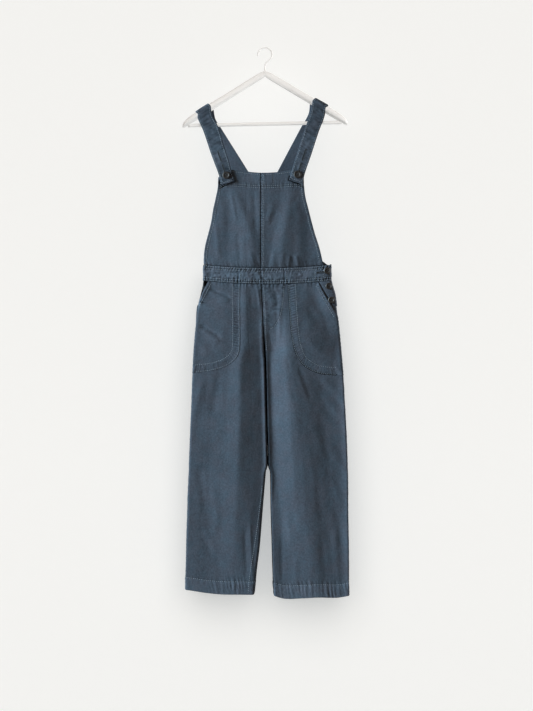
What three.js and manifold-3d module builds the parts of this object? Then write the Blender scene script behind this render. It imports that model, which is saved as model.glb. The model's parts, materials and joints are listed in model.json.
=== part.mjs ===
// Bib-and-brace jumpsuit with wide cropped legs, hung by its two straps on a
// wooden hanger. Millimetres, +Z up, front of the garment towards -Y.
// The origin is the inside top of the hanger's hook.
import * as THREE from "three";
import Module from "manifold-3d";

const wasm = await Module();
wasm.setup();
const { Manifold, Mesh: SolidMesh } = wasm;

// ---------------------------------------------------------------- sizes
const SEAM_GAP = 0.3;            // clear gap between two sewn pieces
const HALF_GAP = SEAM_GAP / 2;
const CLOTH = 1.6;               // wall of the single twill panels
const BAND = 3.0;                // waistband and straps, several layers
const PATCH = 1.5;               // pockets and placket, sewn on a panel
const BAND_PROUD = 0.8;          // waistband stands this far off the panels

const BIB_TOP = -340;            // top edge of the bib in its middle
const WAIST_TOP = -589;          // seam between bib and waistband
const WAIST_BOTTOM = -632;       // seam between waistband and legs
const WAIST_SAG = 9;             // both waist seams hang lower in the middle
const WAIST_MIDDLE = 6;
const WAIST_HALF = 172;
const BACK_RISE = 4;             // back band stands higher at the side opening
const CROTCH = -850;

// Across a section the depth builds first in a tight fold, then over a run.
const SIDE_EDGE = { radius: 5, share: 0.97, run: 40 };
const INSEAM_EDGE = { radius: 4.5, share: 0.97, run: 40 };

const STRAP_HANG = -28.2;        // strap plane where it meets the bib
const BUTTON_STRAP = { radius: 10, thick: 4.2 };
const BUTTON_SIDE = { radius: 9, thick: 3.8 };

const HOOK_WIRE = 2;             // radius of the hook's wire
const HOOK_BEND = 19;            // radius of its bend, on the wire's middle
const BAR_RADIUS = 5;
const BAR_REACH = 209;
const BAR_HEIGHT = -205;
const BAR_TILT = 0.0205;
const ARM_FOOT = -78;            // underside of the two arms at the middle
const ARM_SLOPE_LEFT = 0.628;
const ARM_SLOPE_RIGHT = 0.595;
const ARM_POWER = 0.75;          // squareness of the arm's section

// ---------------------------------------------------------------- tables
// Outline of the hung garment: side seams and half depths, a row per level.
const OUTLINE = [
  { z: -585, left: -165, right: 178, front: 32, back: 34 },
  { z: -634, left: -167.5, right: 180, front: 34, back: 37 },
  { z: -667, left: -175, right: 189, front: 36, back: 41 },
  { z: -699, left: -180.8, right: 193.6, front: 38, back: 44 },
  { z: -764, left: -188.6, right: 201.6, front: 40, back: 47 },
  { z: -829, left: -193.8, right: 207.4, front: 40, back: 46 },
  { z: -894, left: -197.2, right: 213.2, front: 38, back: 43 },
  { z: -958, left: -199.6, right: 217, front: 36, back: 40 },
  { z: -1056, left: -203.8, right: 222, front: 34, back: 37 },
  { z: -1153, left: -207.8, right: 225.4, front: 33, back: 35 },
  { z: -1250, left: -211, right: 225.8, front: 32, back: 34 },
  { z: -1347, left: -214, right: 227.6, front: 32, back: 34 },
  { z: -1490, left: -217, right: 228, front: 33, back: 35 },
];

// Centre seam above the crotch, inner leg edges below it, and how far the
// panels turn in towards the crotch and the inseam (1 = all the way).
const INNER = [
  { z: -585, left: -10, right: -10, turn: 0 },
  { z: -640, left: -9, right: -9, turn: 0 },
  { z: -700, left: -6, right: -6, turn: 0.01 },
  { z: -760, left: -4, right: -4, turn: 0.04 },
  { z: -800, left: -2, right: -2, turn: 0.22 },
  { z: -830, left: 0, right: 0, turn: 0.7 },
  { z: -850, left: 1, right: 1, turn: 1 },
  { z: -900, left: 2.2, right: 2.2, turn: 1 },
  { z: -1000, left: 4.6, right: 4.6, turn: 1 },
  { z: -1100, left: 7, right: 7.4, turn: 1 },
  { z: -1134, left: 7, right: 8, turn: 1 },
  { z: -1144, left: 3, right: 12.6, turn: 1 },
  { z: -1160, left: 1.4, right: 13.8, turn: 1 },
  { z: -1250, left: -6, right: 15, turn: 1 },
  { z: -1347, left: -14, right: 18, turn: 1 },
  { z: -1412, left: -22, right: 20, turn: 1 },
  { z: -1490, left: -29, right: 24, turn: 1 },
];

// Lower edges of the legs, across each leg.
const HEM_LEFT = [
  { x: -218, z: -1461 }, { x: -185, z: -1466 }, { x: -151, z: -1471 },
  { x: -113, z: -1474 }, { x: -70, z: -1474 }, { x: -24, z: -1474 },
];
const HEM_RIGHT = [
  { x: 20, z: -1477 }, { x: 54, z: -1486 }, { x: 100, z: -1484 },
  { x: 140, z: -1481 }, { x: 192, z: -1481 }, { x: 228, z: -1475 },
];
const HEM_LEVEL = -1470;

// Levels of the leg sections.
const LEG_LEVELS = [
  -632, -650, -674, -700, -730, -758, -784, -808, -830, -850, -876, -908, -955,
  -1015, -1085, -1120, -1142, -1165, -1225, -1295, -1362, -1422, -1470,
];
// Share of the section's length at each column, close together at the edges.
const LEG_COLUMNS = [
  0, 0.012, 0.028, 0.05, 0.085, 0.13, 0.18, 0.24, 0.30, 0.36, 0.42, 0.48, 0.54,
  0.60, 0.66, 0.72, 0.78, 0.83, 0.87, 0.90, 0.93, 0.955, 0.975, 0.99, 1,
];

// How the cloth hangs: at each level, places across the panel and how far out
// each is. Slopes between them are straight, with softly rounded bends.
const FRONT_LEG_LEFT_RELIEF = [
  { z: -640, at: [[-168, 0], [-140, -0.5], [-104, 0.4], [-76, 1], [-53, 3.4], [-33, 2.6],
    [-20, 2.2], [-9, 1.6]] },
  { z: -690, at: [[-179, 0], [-140, 0.5], [-104, 2], [-75, 2], [-52, 5.5], [-30, 3],
    [-17, 1.5], [-6.5, 1]] },
  { z: -740, at: [[-186, 0], [-142, 0], [-104, 0.8], [-74, 0.8], [-52, 3.6], [-27, 0],
    [-15, -1], [-5, -1]] },
  { z: -800, at: [[-191, 0], [-148, 0], [-105, 1.2], [-80, 2], [-54, 4.8], [-26, 0],
    [-12, -1.4], [-2, -2]] },
  { z: -860, at: [[-195, 0], [-152, -0.2], [-120, 0.8], [-95, 2], [-66, 5.4], [-28, -1.8],
    [-12, -3.6], [1, -4]] },
  { z: -930, at: [[-199, 0], [-162, -0.4], [-125, -0.4], [-100, 0.8], [-67, 5.6], [-26, -1],
    [-12, -3], [3, -4]] },
  { z: -1000, at: [[-201, 0], [-170, 0], [-140, 0], [-105, 1.8], [-68, 6.2], [-25, -0.6],
    [-10, -2.8], [4.6, -4]] },
  { z: -1080, at: [[-204, 0], [-170, -0.6], [-148, -0.8], [-110, 1.6], [-69, 6.2], [-26, -0.4],
    [-10, -2.6], [6, -4]] },
  { z: -1180, at: [[-209, 0], [-170, -0.8], [-150, -1], [-110, 2.8], [-74, 6.8], [-34, 2.8],
    [-14, 0], [0, -1]] },
  { z: -1280, at: [[-212, 0], [-175, -1], [-150, -1.8], [-115, 0.8], [-78, 6], [-45, 5.2],
    [-24, 3], [-9, 1.6]] },
  { z: -1380, at: [[-214, 0], [-180, -0.8], [-148, -1.4], [-122, -0.4], [-80, 4.6], [-56, 5.2],
    [-36, 5.6], [-18, 6]] },
  { z: -1475, at: [[-217, 0], [-180, 0], [-150, 0], [-120, 0.5], [-88, 2.6], [-60, 4.4],
    [-42, 5.6], [-29, 6.2]] },
];
const FRONT_LEG_RIGHT_RELIEF = [
  { z: -640, at: [[-9, 1.6], [12, 1], [30, 0.8], [50, 1.8], [66, 0.6], [84, -0.4], [128, -3],
    [140, -1.6], [156, 0.6], [180, 0]] },
  { z: -690, at: [[-6.5, 1], [12, 1], [30, 1.5], [52, 5], [67, 4.4], [85, 4], [136, -3],
    [148, -2.4], [176, 1.8], [192, 0.5]] },
  { z: -740, at: [[-5, -1], [12, -1.2], [32, -0.8], [54, 5.6], [68, 6], [86, 5.6], [148, -1],
    [162, -2.6], [192, 1], [199, 1]] },
  { z: -800, at: [[-2, -2], [13, -4], [29, -4], [57, 8.8], [70, 9.8], [90, 8.8], [130, 6.4],
    [174, 1.6], [192, 0.4], [204, 1]] },
  { z: -860, at: [[1, -4], [10, -4], [20, -3.4], [56, 9.4], [70, 11], [112, 8], [140, 7.2],
    [160, 7.6], [184, 6.8], [210, 9]] },
  { z: -930, at: [[3, -4], [12, -4], [22, -3.6], [64, 12], [78, 13.6], [108, 11.6], [150, 6.2],
    [168, 6.6], [188, 7.2], [215, 10.5]] },
  { z: -1000, at: [[5, -4], [14, -4], [24, -3.6], [68, 13], [82, 15], [122, 12.4], [168, 7],
    [180, 7], [198, 8.4], [218, 11]] },
  { z: -1080, at: [[7, -4], [16, -4], [28, -3.8], [72, 12.8], [96, 15.4], [125, 14],
    [170, 8.6], [186, 8], [204, 8.4], [222, 10.6]] },
  { z: -1180, at: [[14, -3], [24, -3.2], [34, -3], [80, 12.6], [104, 15.6], [130, 14.6],
    [178, 11], [192, 10.8], [206, 11.8], [226, 14.4]] },
  { z: -1280, at: [[16, -2], [30, -2.8], [44, -2.8], [86, 10.2], [108, 14.6], [126, 14.6],
    [164, 11.2], [182, 11.6], [206, 13], [227, 16]] },
  { z: -1380, at: [[19, -1], [38, -2.2], [54, -2.2], [92, 5], [122, 11], [140, 12.4],
    [176, 10], [192, 10], [208, 11], [228, 14]] },
  { z: -1480, at: [[24, 0], [44, -1.4], [60, -1.2], [92, 1.2], [120, 5.8], [140, 7.6],
    [175, 8.6], [195, 9.4], [210, 10], [228, 12]] },
];
const BACK_LEG_LEFT_RELIEF = [
  { z: -640, at: [[-168, 0], [-130, 1], [-96, -1], [-64, 2], [-40, -1], [-20, 1], [-9, 0]] },
  { z: -760, at: [[-188, 0], [-146, 2], [-112, -3], [-72, 5], [-40, -4], [-18, -2], [-4, -2]] },
  { z: -900, at: [[-197, 0], [-150, 3], [-118, -4], [-76, 8], [-30, -5], [-12, -5], [2, -5]] },
  { z: -1100, at: [[-205, 0], [-160, 2.5], [-124, -4], [-78, 9], [-30, -4], [-12, -4], [6, -4]] },
  { z: -1300, at: [[-212, 0], [-168, 2], [-134, -3], [-88, 7], [-46, -1], [-24, -1], [-10, 0]] },
  { z: -1475, at: [[-217, 0], [-175, 1], [-140, -1], [-100, 3], [-60, 0], [-40, 0], [-29, 0]] },
];
const BACK_LEG_RIGHT_RELIEF = [
  { z: -640, at: [[-9, 0], [14, 0], [42, 2], [72, -1], [104, 2.5], [142, 0], [180, 0]] },
  { z: -760, at: [[-4, -2], [15, -2], [48, 5], [84, -3], [120, 4], [164, -1], [201, 0]] },
  { z: -900, at: [[2.4, -5], [16, -5], [58, 8], [98, -3], [138, 5], [180, -2], [213, 0]] },
  { z: -1100, at: [[7.5, -4], [22, -4], [70, 9], [114, -4], [154, 5], [194, -2], [223, 0]] },
  { z: -1300, at: [[16.5, -2], [32, -2], [86, 8], [126, -3], [164, 4], [200, -1], [226.5, 0]] },
  { z: -1480, at: [[24, 0], [50, 0], [100, 3], [134, -1], [165, 2], [200, 0], [228, 0]] },
];
const BIB_RELIEF = [
  { z: -345, at: [[-125, 0], [-116, 0], [-104, -0.4], [-82, -0.6], [-66, -0.8], [-40, -0.8],
    [-11, 0], [10, 0.2], [40, 0.2], [66, 0], [80, -0.4], [88, -0.6], [96, -0.8], [104, -0.8]] },
  { z: -392, at: [[-129, 0], [-118, 0.2], [-103, -0.4], [-79, 1.6], [-62, 0.4], [-40, 0.6],
    [-11, 0], [12, 0], [46, -1.4], [68, -0.2], [82, -1.6], [87, -2.2], [98, -3.2], [107, -3.2]] },
  { z: -430, at: [[-137, 0], [-116, 0.9], [-100, 0.2], [-66, 4.4], [-46, 2.6], [-32, 3],
    [-11, 2.6], [10, 2.2], [40, 0.6], [65, 3.8], [80, 1.8], [88, 1.2], [104, -1], [115, -1.4]] },
  { z: -500, at: [[-151, 0], [-114, 2], [-99, 1.2], [-41, 8.4], [-24, 6.8], [-17, 6.2],
    [-11, 5.8], [4, 4.9], [26, 4.5], [51, 8.8], [81, 4.8], [90, 4.4], [115, 1], [131, 0.8]] },
  { z: -560, at: [[-163, 0], [-114, 1], [-100, 1], [-34, 8.4], [-20, 7.6], [-15, 7],
    [-11, 6.6], [2, 5.6], [9, 5.2], [43, 9], [76, 5.8], [90, 6], [114, 3], [149, 5]] },
  { z: -590, at: [[-165, 0], [-120, 0.6], [-96, 1.2], [-40, 4.2], [-24, 3.2], [-16, 2.8],
    [-11, 2.4], [2, 2], [12, 1.8], [42, 2.6], [76, 1], [90, 0.6], [110, 0.2], [156, 1.5]] },
];
const BAND_RELIEF = [
  { z: -632, at: [[-168, 0], [-120, 0.6], [-96, 1.2], [-40, 3.8], [-22, 2.6], [2, 1.6],
    [24, 1.8], [76, 0.6], [104, -0.8], [150, 1], [180, 0.5]] },
  { z: -633, at: [[-168, 0], [-120, 0.6], [-96, 1.2], [-40, 3.8], [-22, 2.6], [2, 1.6],
    [24, 1.8], [76, 0.6], [104, -0.8], [150, 1], [180, 0.5]] },
];
const FOLD_SOFT = 7;

// Side edges of the bib.
const BIB_EDGES = [
  { z: -340, left: -125.5, right: 104 },
  { z: -375, left: -127, right: 105 },
  { z: -408, left: -132, right: 109 },
  { z: -440, left: -139, right: 117 },
  { z: -472, left: -144, right: 125 },
  { z: -505, left: -152, right: 134 },
  { z: -537, left: -160, right: 144 },
  { z: -570, left: -164.2, right: 152 },
  { z: -592, left: -164.6, right: 156 },
];
// Top edge of the bib: lifted where the straps hold it, corners dropping.
const BIB_TOP_EDGE = [
  { x: -128, z: -357 }, { x: -119, z: -349 }, { x: -108, z: -339 },
  { x: -94, z: -334 }, { x: -55, z: -338 }, { x: -10, z: -342 },
  { x: 36, z: -340 }, { x: 72, z: -335 }, { x: 88, z: -336 },
  { x: 97, z: -341 }, { x: 105, z: -350 },
];
const BIB_LEVELS = [-340, -358, -382, -415, -450, -488, -525, -560, -589];
const BIB_COLUMNS = [0, 0.04, 0.1, 0.18, 0.26, 0.34, 0.42, 0.5, 0.58, 0.66, 0.74, 0.82, 0.9, 1];
const BIB_TOP_DEPTH = 27;

// Back piece: side edges from the strap ends down to the waistband.
const BACK_EDGES = [
  { at: 0, left: -35.4, right: 32.2 },
  { at: 0.18, left: -42, right: 40 },
  { at: 0.38, left: -57, right: 58 },
  { at: 0.58, left: -82, right: 86 },
  { at: 0.76, left: -114, right: 120 },
  { at: 0.9, left: -144, right: 152 },
  { at: 1, left: -161, right: 172 },
];
const BACK_PEAK = { x: -2, z: -399.5, left: -420, right: -418 };
const BACK_TOP_DEPTH = 29;

// Pocket patches: outline in front view; the mouth is its slanting edge.
const POCKET_LEFT = [
  { x: -67, z: -600 }, { x: -67, z: -815 }, { x: -72, z: -832 },
  { x: -84, z: -848 }, { x: -101, z: -860 }, { x: -124, z: -869 },
  { x: -150, z: -875 }, { x: -240, z: -884 }, { x: -240, z: -699 },
  { x: -184, z: -699 }, { x: -152, z: -632 }, { x: -137, z: -600 },
];
const POCKET_RIGHT = [
  { x: 61, z: -600 }, { x: 64, z: -700 }, { x: 69, z: -771 },
  { x: 76, z: -812 }, { x: 90, z: -845 }, { x: 112, z: -867 },
  { x: 147, z: -882 }, { x: 240, z: -890 }, { x: 240, z: -731 },
  { x: 196, z: -731 }, { x: 142, z: -632 }, { x: 125, z: -600 },
];
const PLACKET = [
  { x: 143, z: -600 }, { x: 143, z: -632.2 }, { x: 179.6, z: -699 },
  { x: 240, z: -704 }, { x: 240, z: -600 },
];

// Front waistband, divided at its short upright seams.
const WAIST_SEAMS = [
  { name: "waistband_front_side_left", from: -400, to: -71, columns: 12 },
  { name: "waistband_front_mid_left", from: -71, to: -9.5, columns: 8 },
  { name: "waistband_front_mid_right", from: -9.5, to: 52, columns: 8 },
  { name: "waistband_front_side_right", from: 52, to: 400, columns: 13 },
];

// Straps: inner and outer edges below the hanger, front then back.
const STRAPS = {
  left: {
    topIn: -154, topOut: -188, leanFront: 7, leanBack: 12,
    front: [
      { xi: -144, zi: -182, yi: -19, xo: -181, zo: -193, yo: -17.4 },
      { xi: -127, zi: -216, yi: -21.4, xo: -166, zo: -227, yo: -17 },
      { xi: -107.5, zi: -278, yi: -25.4, xo: -145, zo: -289, yo: -17.6 },
      { xi: -97, zi: -312, yi: -28, xo: -133, zo: -322, yo: -26.6 },
      { xi: -93, zi: -329, yi: STRAP_HANG, xo: -127, zo: -338, yo: STRAP_HANG },
      { xi: -88, zi: -344, yi: STRAP_HANG, xo: -122, zo: -353, yo: STRAP_HANG },
      { xi: -81, zi: -365, yi: STRAP_HANG, xo: -115.5, zo: -375, yo: STRAP_HANG },
    ],
    back: [
      { xi: -136, zi: -187, yi: 18.6, xo: -169, zo: -207, yo: 18.6 },
      { xi: -122, zi: -210, yi: 20, xo: -155, zo: -230, yo: 20 },
      { xi: -84, zi: -270, yi: 23, xo: -116.6, zo: -290.5, yo: 23 },
      { xi: -43.6, zi: -334, yi: 26, xo: -76.2, zo: -354.5, yo: 26 },
      { xi: -2.2, zi: -399.4, yi: 28.6, xo: -35.4, zo: -419.9, yo: 28.6 },
    ],
  },
  right: {
    topIn: 137, topOut: 171, leanFront: 8, leanBack: 13,
    front: [
      { xi: 125.3, zi: -171, yi: -18.4, xo: 160.5, zo: -187, yo: -18.4 },
      { xi: 110, zi: -217, yi: -20.6, xo: 144.5, zo: -230, yo: -20.6 },
      { xi: 91, zi: -278, yi: -24, xo: 125, zo: -290, yo: -24 },
      { xi: 76, zi: -326, yi: STRAP_HANG, xo: 108.5, zo: -338, yo: STRAP_HANG },
      { xi: 71, zi: -343, yi: STRAP_HANG, xo: 104, zo: -354, yo: STRAP_HANG },
      { xi: 65.5, zi: -361, yi: STRAP_HANG, xo: 100.5, zo: -373, yo: STRAP_HANG },
    ],
    back: [
      { xi: 119, zi: -174, yi: 18.6, xo: 153, zo: -192, yo: 18.6 },
      { xi: 99, zi: -210, yi: 20, xo: 133, zo: -228, yo: 20 },
      { xi: 66.8, zi: -270, yi: 23, xo: 100.8, zo: -288, yo: 23 },
      { xi: 32.7, zi: -334, yi: 26, xo: 66.7, zo: -352, yo: 26 },
      { xi: -1.8, zi: -399.4, yi: 28.6, xo: 32.2, zo: -417.9, yo: 28.6 },
    ],
  },
};
const STRAP_COLUMNS = [0, 0.25, 0.5, 0.75, 1];
const STRAP_OVER = [-90, -66, -44, -22, 0, 22, 44, 66, 90];

// Hanger arm: depth and height of its section away from the middle.
const ARM_SECTIONS = [
  { at: 0, depth: 13, height: 20 },
  { at: 25, depth: 13.5, height: 21 },
  { at: 60, depth: 16, height: 21.5 },
  { at: 100, depth: 22, height: 21 },
  { at: 150, depth: 30, height: 22 },
  { at: 185, depth: 33, height: 21.5 },
  { at: 205, depth: 32, height: 20 },
  { at: 215, depth: 28, height: 16.5 },
  { at: 221, depth: 20, height: 12 },
  { at: 224, depth: 9, height: 6 },
];
const ARM_STATIONS = [0, 6, 14, 28, 60, 100, 150, 185, 200, 209, 215, 219, 222, 224];
const HOOK_FOOT = -63;

// Buttons: front-view position and which size.
const STRAP_BUTTONS = [
  { name: "button_strap_left", x: -104, z: -349 },
  { name: "button_strap_right", x: 87, z: -347 },
];
const SIDE_BUTTONS = [
  { name: "button_side_upper", x: 167, z: -606, clear: 0.35 },
  { name: "button_side_middle", x: 171.5, z: -647, clear: 0.35 },
  { name: "button_side_lower", x: 178.4, z: -684, clear: -0.35 },
];

// ---------------------------------------------------------------- materials
const cloth = new THREE.MeshStandardMaterial({ color: 0x4a5766, roughness: 0.9, metalness: 0 });
const buttonStuff = new THREE.MeshStandardMaterial({ color: 0x2a2526, roughness: 0.45, metalness: 0 });
const whiteWood = new THREE.MeshStandardMaterial({ color: 0xf0eeea, roughness: 0.5, metalness: 0 });
const whiteMetal = new THREE.MeshStandardMaterial({ color: 0xeeeeec, roughness: 0.35, metalness: 0.2 });

// ---------------------------------------------------------------- reading tables
function slopeAt(rows, key, value, i) {
  const before = rows[Math.max(0, i - 1)];
  const after = rows[Math.min(rows.length - 1, i + 1)];
  return (after[value] - before[value]) / (after[key] - before[key]);
}

// Smooth reading of one column of a table between its rows.
function read(rows, key, value, k) {
  const rising = rows[rows.length - 1][key] > rows[0][key];
  const first = rows[0];
  const last = rows[rows.length - 1];
  if (rising ? k <= first[key] : k >= first[key]) return first[value];
  if (rising ? k >= last[key] : k <= last[key]) return last[value];
  let i = 0;
  while (rising ? rows[i + 1][key] < k : rows[i + 1][key] > k) i += 1;
  const a = rows[i];
  const b = rows[i + 1];
  const span = b[key] - a[key];
  const t = (k - a[key]) / span;
  const ma = slopeAt(rows, key, value, i) * span;
  const mb = slopeAt(rows, key, value, i + 1) * span;
  const t2 = t * t;
  const t3 = t2 * t;
  return a[value] * (2 * t3 - 3 * t2 + 1) + ma * (t3 - 2 * t2 + t)
    + b[value] * (3 * t2 - 2 * t3) + mb * (t3 - t2);
}

const clamp01 = (v) => Math.min(1, Math.max(0, v));
const smooth = (a, b, v) => {
  const t = clamp01((v - a) / (b - a));
  return t * t * (3 - 2 * t);
};
const mix = (a, b, t) => a + (b - a) * t;

// ---------------------------------------------------------------- garment form
function edgeDepth(s, edge) {
  const tight = Math.sqrt(Math.max(0, 1 - (1 - clamp01(s / edge.radius)) ** 2));
  const soft = Math.sin((Math.PI / 2) * clamp01(s / edge.run));
  return edge.share * tight + (1 - edge.share) * soft;
}

// The lines that run down through the same place of every section.
function reliefLines(rows) {
  return rows[0].at.map((_, k) => rows.map((r) => ({ z: r.z, x: r.at[k][0], h: r.at[k][1] })));
}

const LEG_FORM = {
  left: { front: reliefLines(FRONT_LEG_LEFT_RELIEF), back: reliefLines(BACK_LEG_LEFT_RELIEF) },
  right: { front: reliefLines(FRONT_LEG_RIGHT_RELIEF), back: reliefLines(BACK_LEG_RIGHT_RELIEF) },
};
const BIB_FORM = reliefLines(BIB_RELIEF);
const BAND_FORM = reliefLines(BAND_RELIEF);

function reliefHeight(lines, x, z) {
  const places = lines.map((line) => read(line, "z", "x", z));
  const heights = lines.map((line) => read(line, "z", "h", z));
  let sum = 0;
  [[1, -1], [2, -0.5], [3, 0], [2, 0.5], [1, 1]].forEach(([share, shift]) => {
    const q = x + shift * FOLD_SOFT;
    let h = heights[0];
    for (let k = 0; k < places.length - 1; k += 1) {
      const t = clamp01((q - places[k]) / (places[k + 1] - places[k]));
      h += (heights[k + 1] - heights[k]) * t;
    }
    sum += (share / 9) * h;
  });
  return sum;
}

function waistSag(x) {
  return WAIST_SAG * Math.max(0, 1 - ((x - WAIST_MIDDLE) / WAIST_HALF) ** 2);
}

// Distance in front of (front) or behind (back) the side seams, legs and band.
function legDepth(side, isFront, x, z) {
  const outer = read(OUTLINE, "z", side, z);
  const inner = read(INNER, "z", side, z);
  const turn = read(INNER, "z", "turn", z);
  const sOut = Math.max(0, side === "left" ? x - outer : outer - x);
  const sIn = Math.max(0, side === "left" ? inner - x : x - inner);
  const full = read(OUTLINE, "z", isFront ? "front" : "back", z);
  const body = full * edgeDepth(sOut, SIDE_EDGE) * (1 - turn * (1 - edgeDepth(sIn, INSEAM_EDGE)));
  const folds = reliefHeight(LEG_FORM[side][isFront ? "front" : "back"], x, z);
  const innerRun = 5 + 9 * smooth(-1250, -1150, z);
  const calm = smooth(0, 4, sOut) * mix(1, smooth(0, innerRun, sIn), turn);
  return Math.max(HALF_GAP, body + folds * calm);
}

function bandDepth(isFront, x) {
  const z = WAIST_BOTTOM;
  const outerLeft = read(OUTLINE, "z", "left", z);
  const outerRight = read(OUTLINE, "z", "right", z);
  const s = Math.max(0, Math.min(x - outerLeft, outerRight - x));
  const full = read(OUTLINE, "z", isFront ? "front" : "back", z);
  const relief = isFront ? reliefHeight(BAND_FORM, x, z) * smooth(0, 16, s) : 0;
  return Math.max(HALF_GAP, full * edgeDepth(s, SIDE_EDGE) + relief);
}

function bibDepth(isFront, x, z) {
  const t = clamp01((z - WAIST_TOP) / (BIB_TOP - WAIST_TOP));
  const top = isFront ? BIB_TOP_DEPTH : BACK_TOP_DEPTH;
  const ease = Math.sin((Math.PI / 2) * t);
  const body = mix(bandDepth(isFront, x), top, ease);
  if (!isFront) return body;
  return body - reliefHeight(BAND_FORM, x, WAIST_BOTTOM) * (1 - ease) + reliefHeight(BIB_FORM, x, z);
}

function bibLift(x, level) {
  const t = (BIB_TOP - level) / (BIB_TOP - WAIST_TOP);
  return (read(BIB_TOP_EDGE, "x", "z", x) - BIB_TOP) * (1 - smooth(0, 0.3, t));
}

// How far in front the inner face of a strap lies where it rests on the bib.
function strapLift(x, z) {
  let level = z;
  for (let k = 0; k < 6; k += 1) level = mix(level, z - bibLift(x, level), 0.7);
  return Math.max(-STRAP_HANG, bibDepth(true, x, Math.min(BIB_TOP, level)) + 0.6);
}

function legRowZ(side, level, x) {
  const sag = waistSag(x) * smooth(-770, -640, level);
  const hem = read(side === "left" ? HEM_LEFT : HEM_RIGHT, "x", "z", x) - HEM_LEVEL;
  return level - sag + hem * smooth(-1250, -1470, level);
}

// ---------------------------------------------------------------- solids
// A grid of points, rows by columns, with its outward direction at each.
function gridNormals(grid, facing) {
  const rows = grid.length;
  const columns = grid[0].length;
  const du = new THREE.Vector3();
  const dv = new THREE.Vector3();
  return grid.map((row, r) => row.map((p, c) => {
    du.subVectors(row[Math.min(columns - 1, c + 1)], row[Math.max(0, c - 1)]);
    dv.subVectors(grid[Math.min(rows - 1, r + 1)][c], grid[Math.max(0, r - 1)][c]);
    const n = new THREE.Vector3().crossVectors(dv, du).normalize();
    return n.multiplyScalar(facing);
  }));
}

function moved(grid, normals, distance) {
  return grid.map((row, r) => row.map((p, c) => p.clone().addScaledVector(normals[r][c], distance)));
}

// Closed shell between an outer and an inner grid of the same shape.
function shell(outer, inner) {
  const rows = outer.length;
  const columns = outer[0].length;
  const points = [];
  outer.forEach((row) => row.forEach((p) => points.push(p.x, p.y, p.z)));
  inner.forEach((row) => row.forEach((p) => points.push(p.x, p.y, p.z)));
  const o = (r, c) => r * columns + c;
  const i = (r, c) => rows * columns + r * columns + c;
  const faces = [];
  const quad = (a, b, c, d) => faces.push(a, b, c, a, c, d);
  for (let r = 0; r < rows - 1; r += 1) {
    for (let c = 0; c < columns - 1; c += 1) {
      quad(o(r, c), o(r, c + 1), o(r + 1, c + 1), o(r + 1, c));
      quad(i(r, c), i(r + 1, c), i(r + 1, c + 1), i(r, c + 1));
    }
    quad(o(r, 0), o(r + 1, 0), i(r + 1, 0), i(r, 0));
    quad(o(r, columns - 1), i(r, columns - 1), i(r + 1, columns - 1), o(r + 1, columns - 1));
  }
  for (let c = 0; c < columns - 1; c += 1) {
    quad(o(0, c), i(0, c), i(0, c + 1), o(0, c + 1));
    quad(o(rows - 1, c), o(rows - 1, c + 1), i(rows - 1, c + 1), i(rows - 1, c));
  }
  return turnedOut({ points, faces });
}

function turnedOut(body) {
  const { points, faces } = body;
  const at = (k) => new THREE.Vector3(points[3 * k], points[3 * k + 1], points[3 * k + 2]);
  let volume = 0;
  for (let f = 0; f < faces.length; f += 3) {
    volume += at(faces[f]).dot(at(faces[f + 1]).cross(at(faces[f + 2]))) / 6;
  }
  if (volume < 0) {
    for (let f = 0; f < faces.length; f += 3) {
      [faces[f + 1], faces[f + 2]] = [faces[f + 2], faces[f + 1]];
    }
  }
  return body;
}

// Loft through closed rings of equal count, ends closed by a middle point.
function loft(rings) {
  const count = rings[0].length;
  const points = [];
  const faces = [];
  rings.forEach((ring) => ring.forEach((p) => points.push(p.x, p.y, p.z)));
  for (let r = 0; r < rings.length - 1; r += 1) {
    for (let c = 0; c < count; c += 1) {
      const d = (c + 1) % count;
      const a = r * count;
      const b = a + count;
      faces.push(a + c, a + d, b + d, a + c, b + d, b + c);
    }
  }
  [0, rings.length - 1].forEach((r) => {
    const middle = new THREE.Vector3();
    rings[r].forEach((p) => middle.add(p));
    middle.divideScalar(count);
    const m = points.length / 3;
    points.push(middle.x, middle.y, middle.z);
    for (let c = 0; c < count; c += 1) {
      const d = (c + 1) % count;
      if (r === 0) faces.push(m, r * count + d, r * count + c);
      else faces.push(m, r * count + c, r * count + d);
    }
  });
  return turnedOut({ points, faces });
}

function toManifold(body) {
  return new Manifold(new SolidMesh({
    numProp: 3,
    vertProperties: new Float32Array(body.points),
    triVerts: new Uint32Array(body.faces),
  }));
}

function fromManifold(solid) {
  const mesh = solid.getMesh();
  return { points: Array.from(mesh.vertProperties), faces: Array.from(mesh.triVerts) };
}

// Upright prism over a front-view outline, from far in front to far behind.
function prism(outline, yFrom, yTo) {
  const shape = new THREE.Shape(outline.map((p) => new THREE.Vector2(p.x, p.z)));
  const flat = new THREE.ExtrudeGeometry(shape, { depth: yTo - yFrom, bevelEnabled: false });
  const place = new THREE.Matrix4().makeBasis(
    new THREE.Vector3(1, 0, 0), new THREE.Vector3(0, 0, 1), new THREE.Vector3(0, -1, 0));
  flat.applyMatrix4(place);
  flat.translate(0, yTo, 0);
  const where = flat.getAttribute("position");
  const found = new Map();
  const points = [];
  const faces = [];
  for (let k = 0; k < where.count; k += 1) {
    const key = [where.getX(k), where.getY(k), where.getZ(k)].map((v) => v.toFixed(4)).join();
    if (!found.has(key)) {
      found.set(key, points.length / 3);
      points.push(where.getX(k), where.getY(k), where.getZ(k));
    }
    faces.push(found.get(key));
  }
  return turnedOut({ points, faces });
}

const group = new THREE.Group();
group.name = "jumpsuit_on_hanger";

function add(name, body, material) {
  const geometry = new THREE.BufferGeometry();
  geometry.setAttribute("position", new THREE.Float32BufferAttribute(body.points, 3));
  geometry.setIndex(body.faces);
  geometry.computeVertexNormals();
  const mesh = new THREE.Mesh(geometry, material);
  mesh.name = name;
  group.add(mesh);
  return mesh;
}

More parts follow.
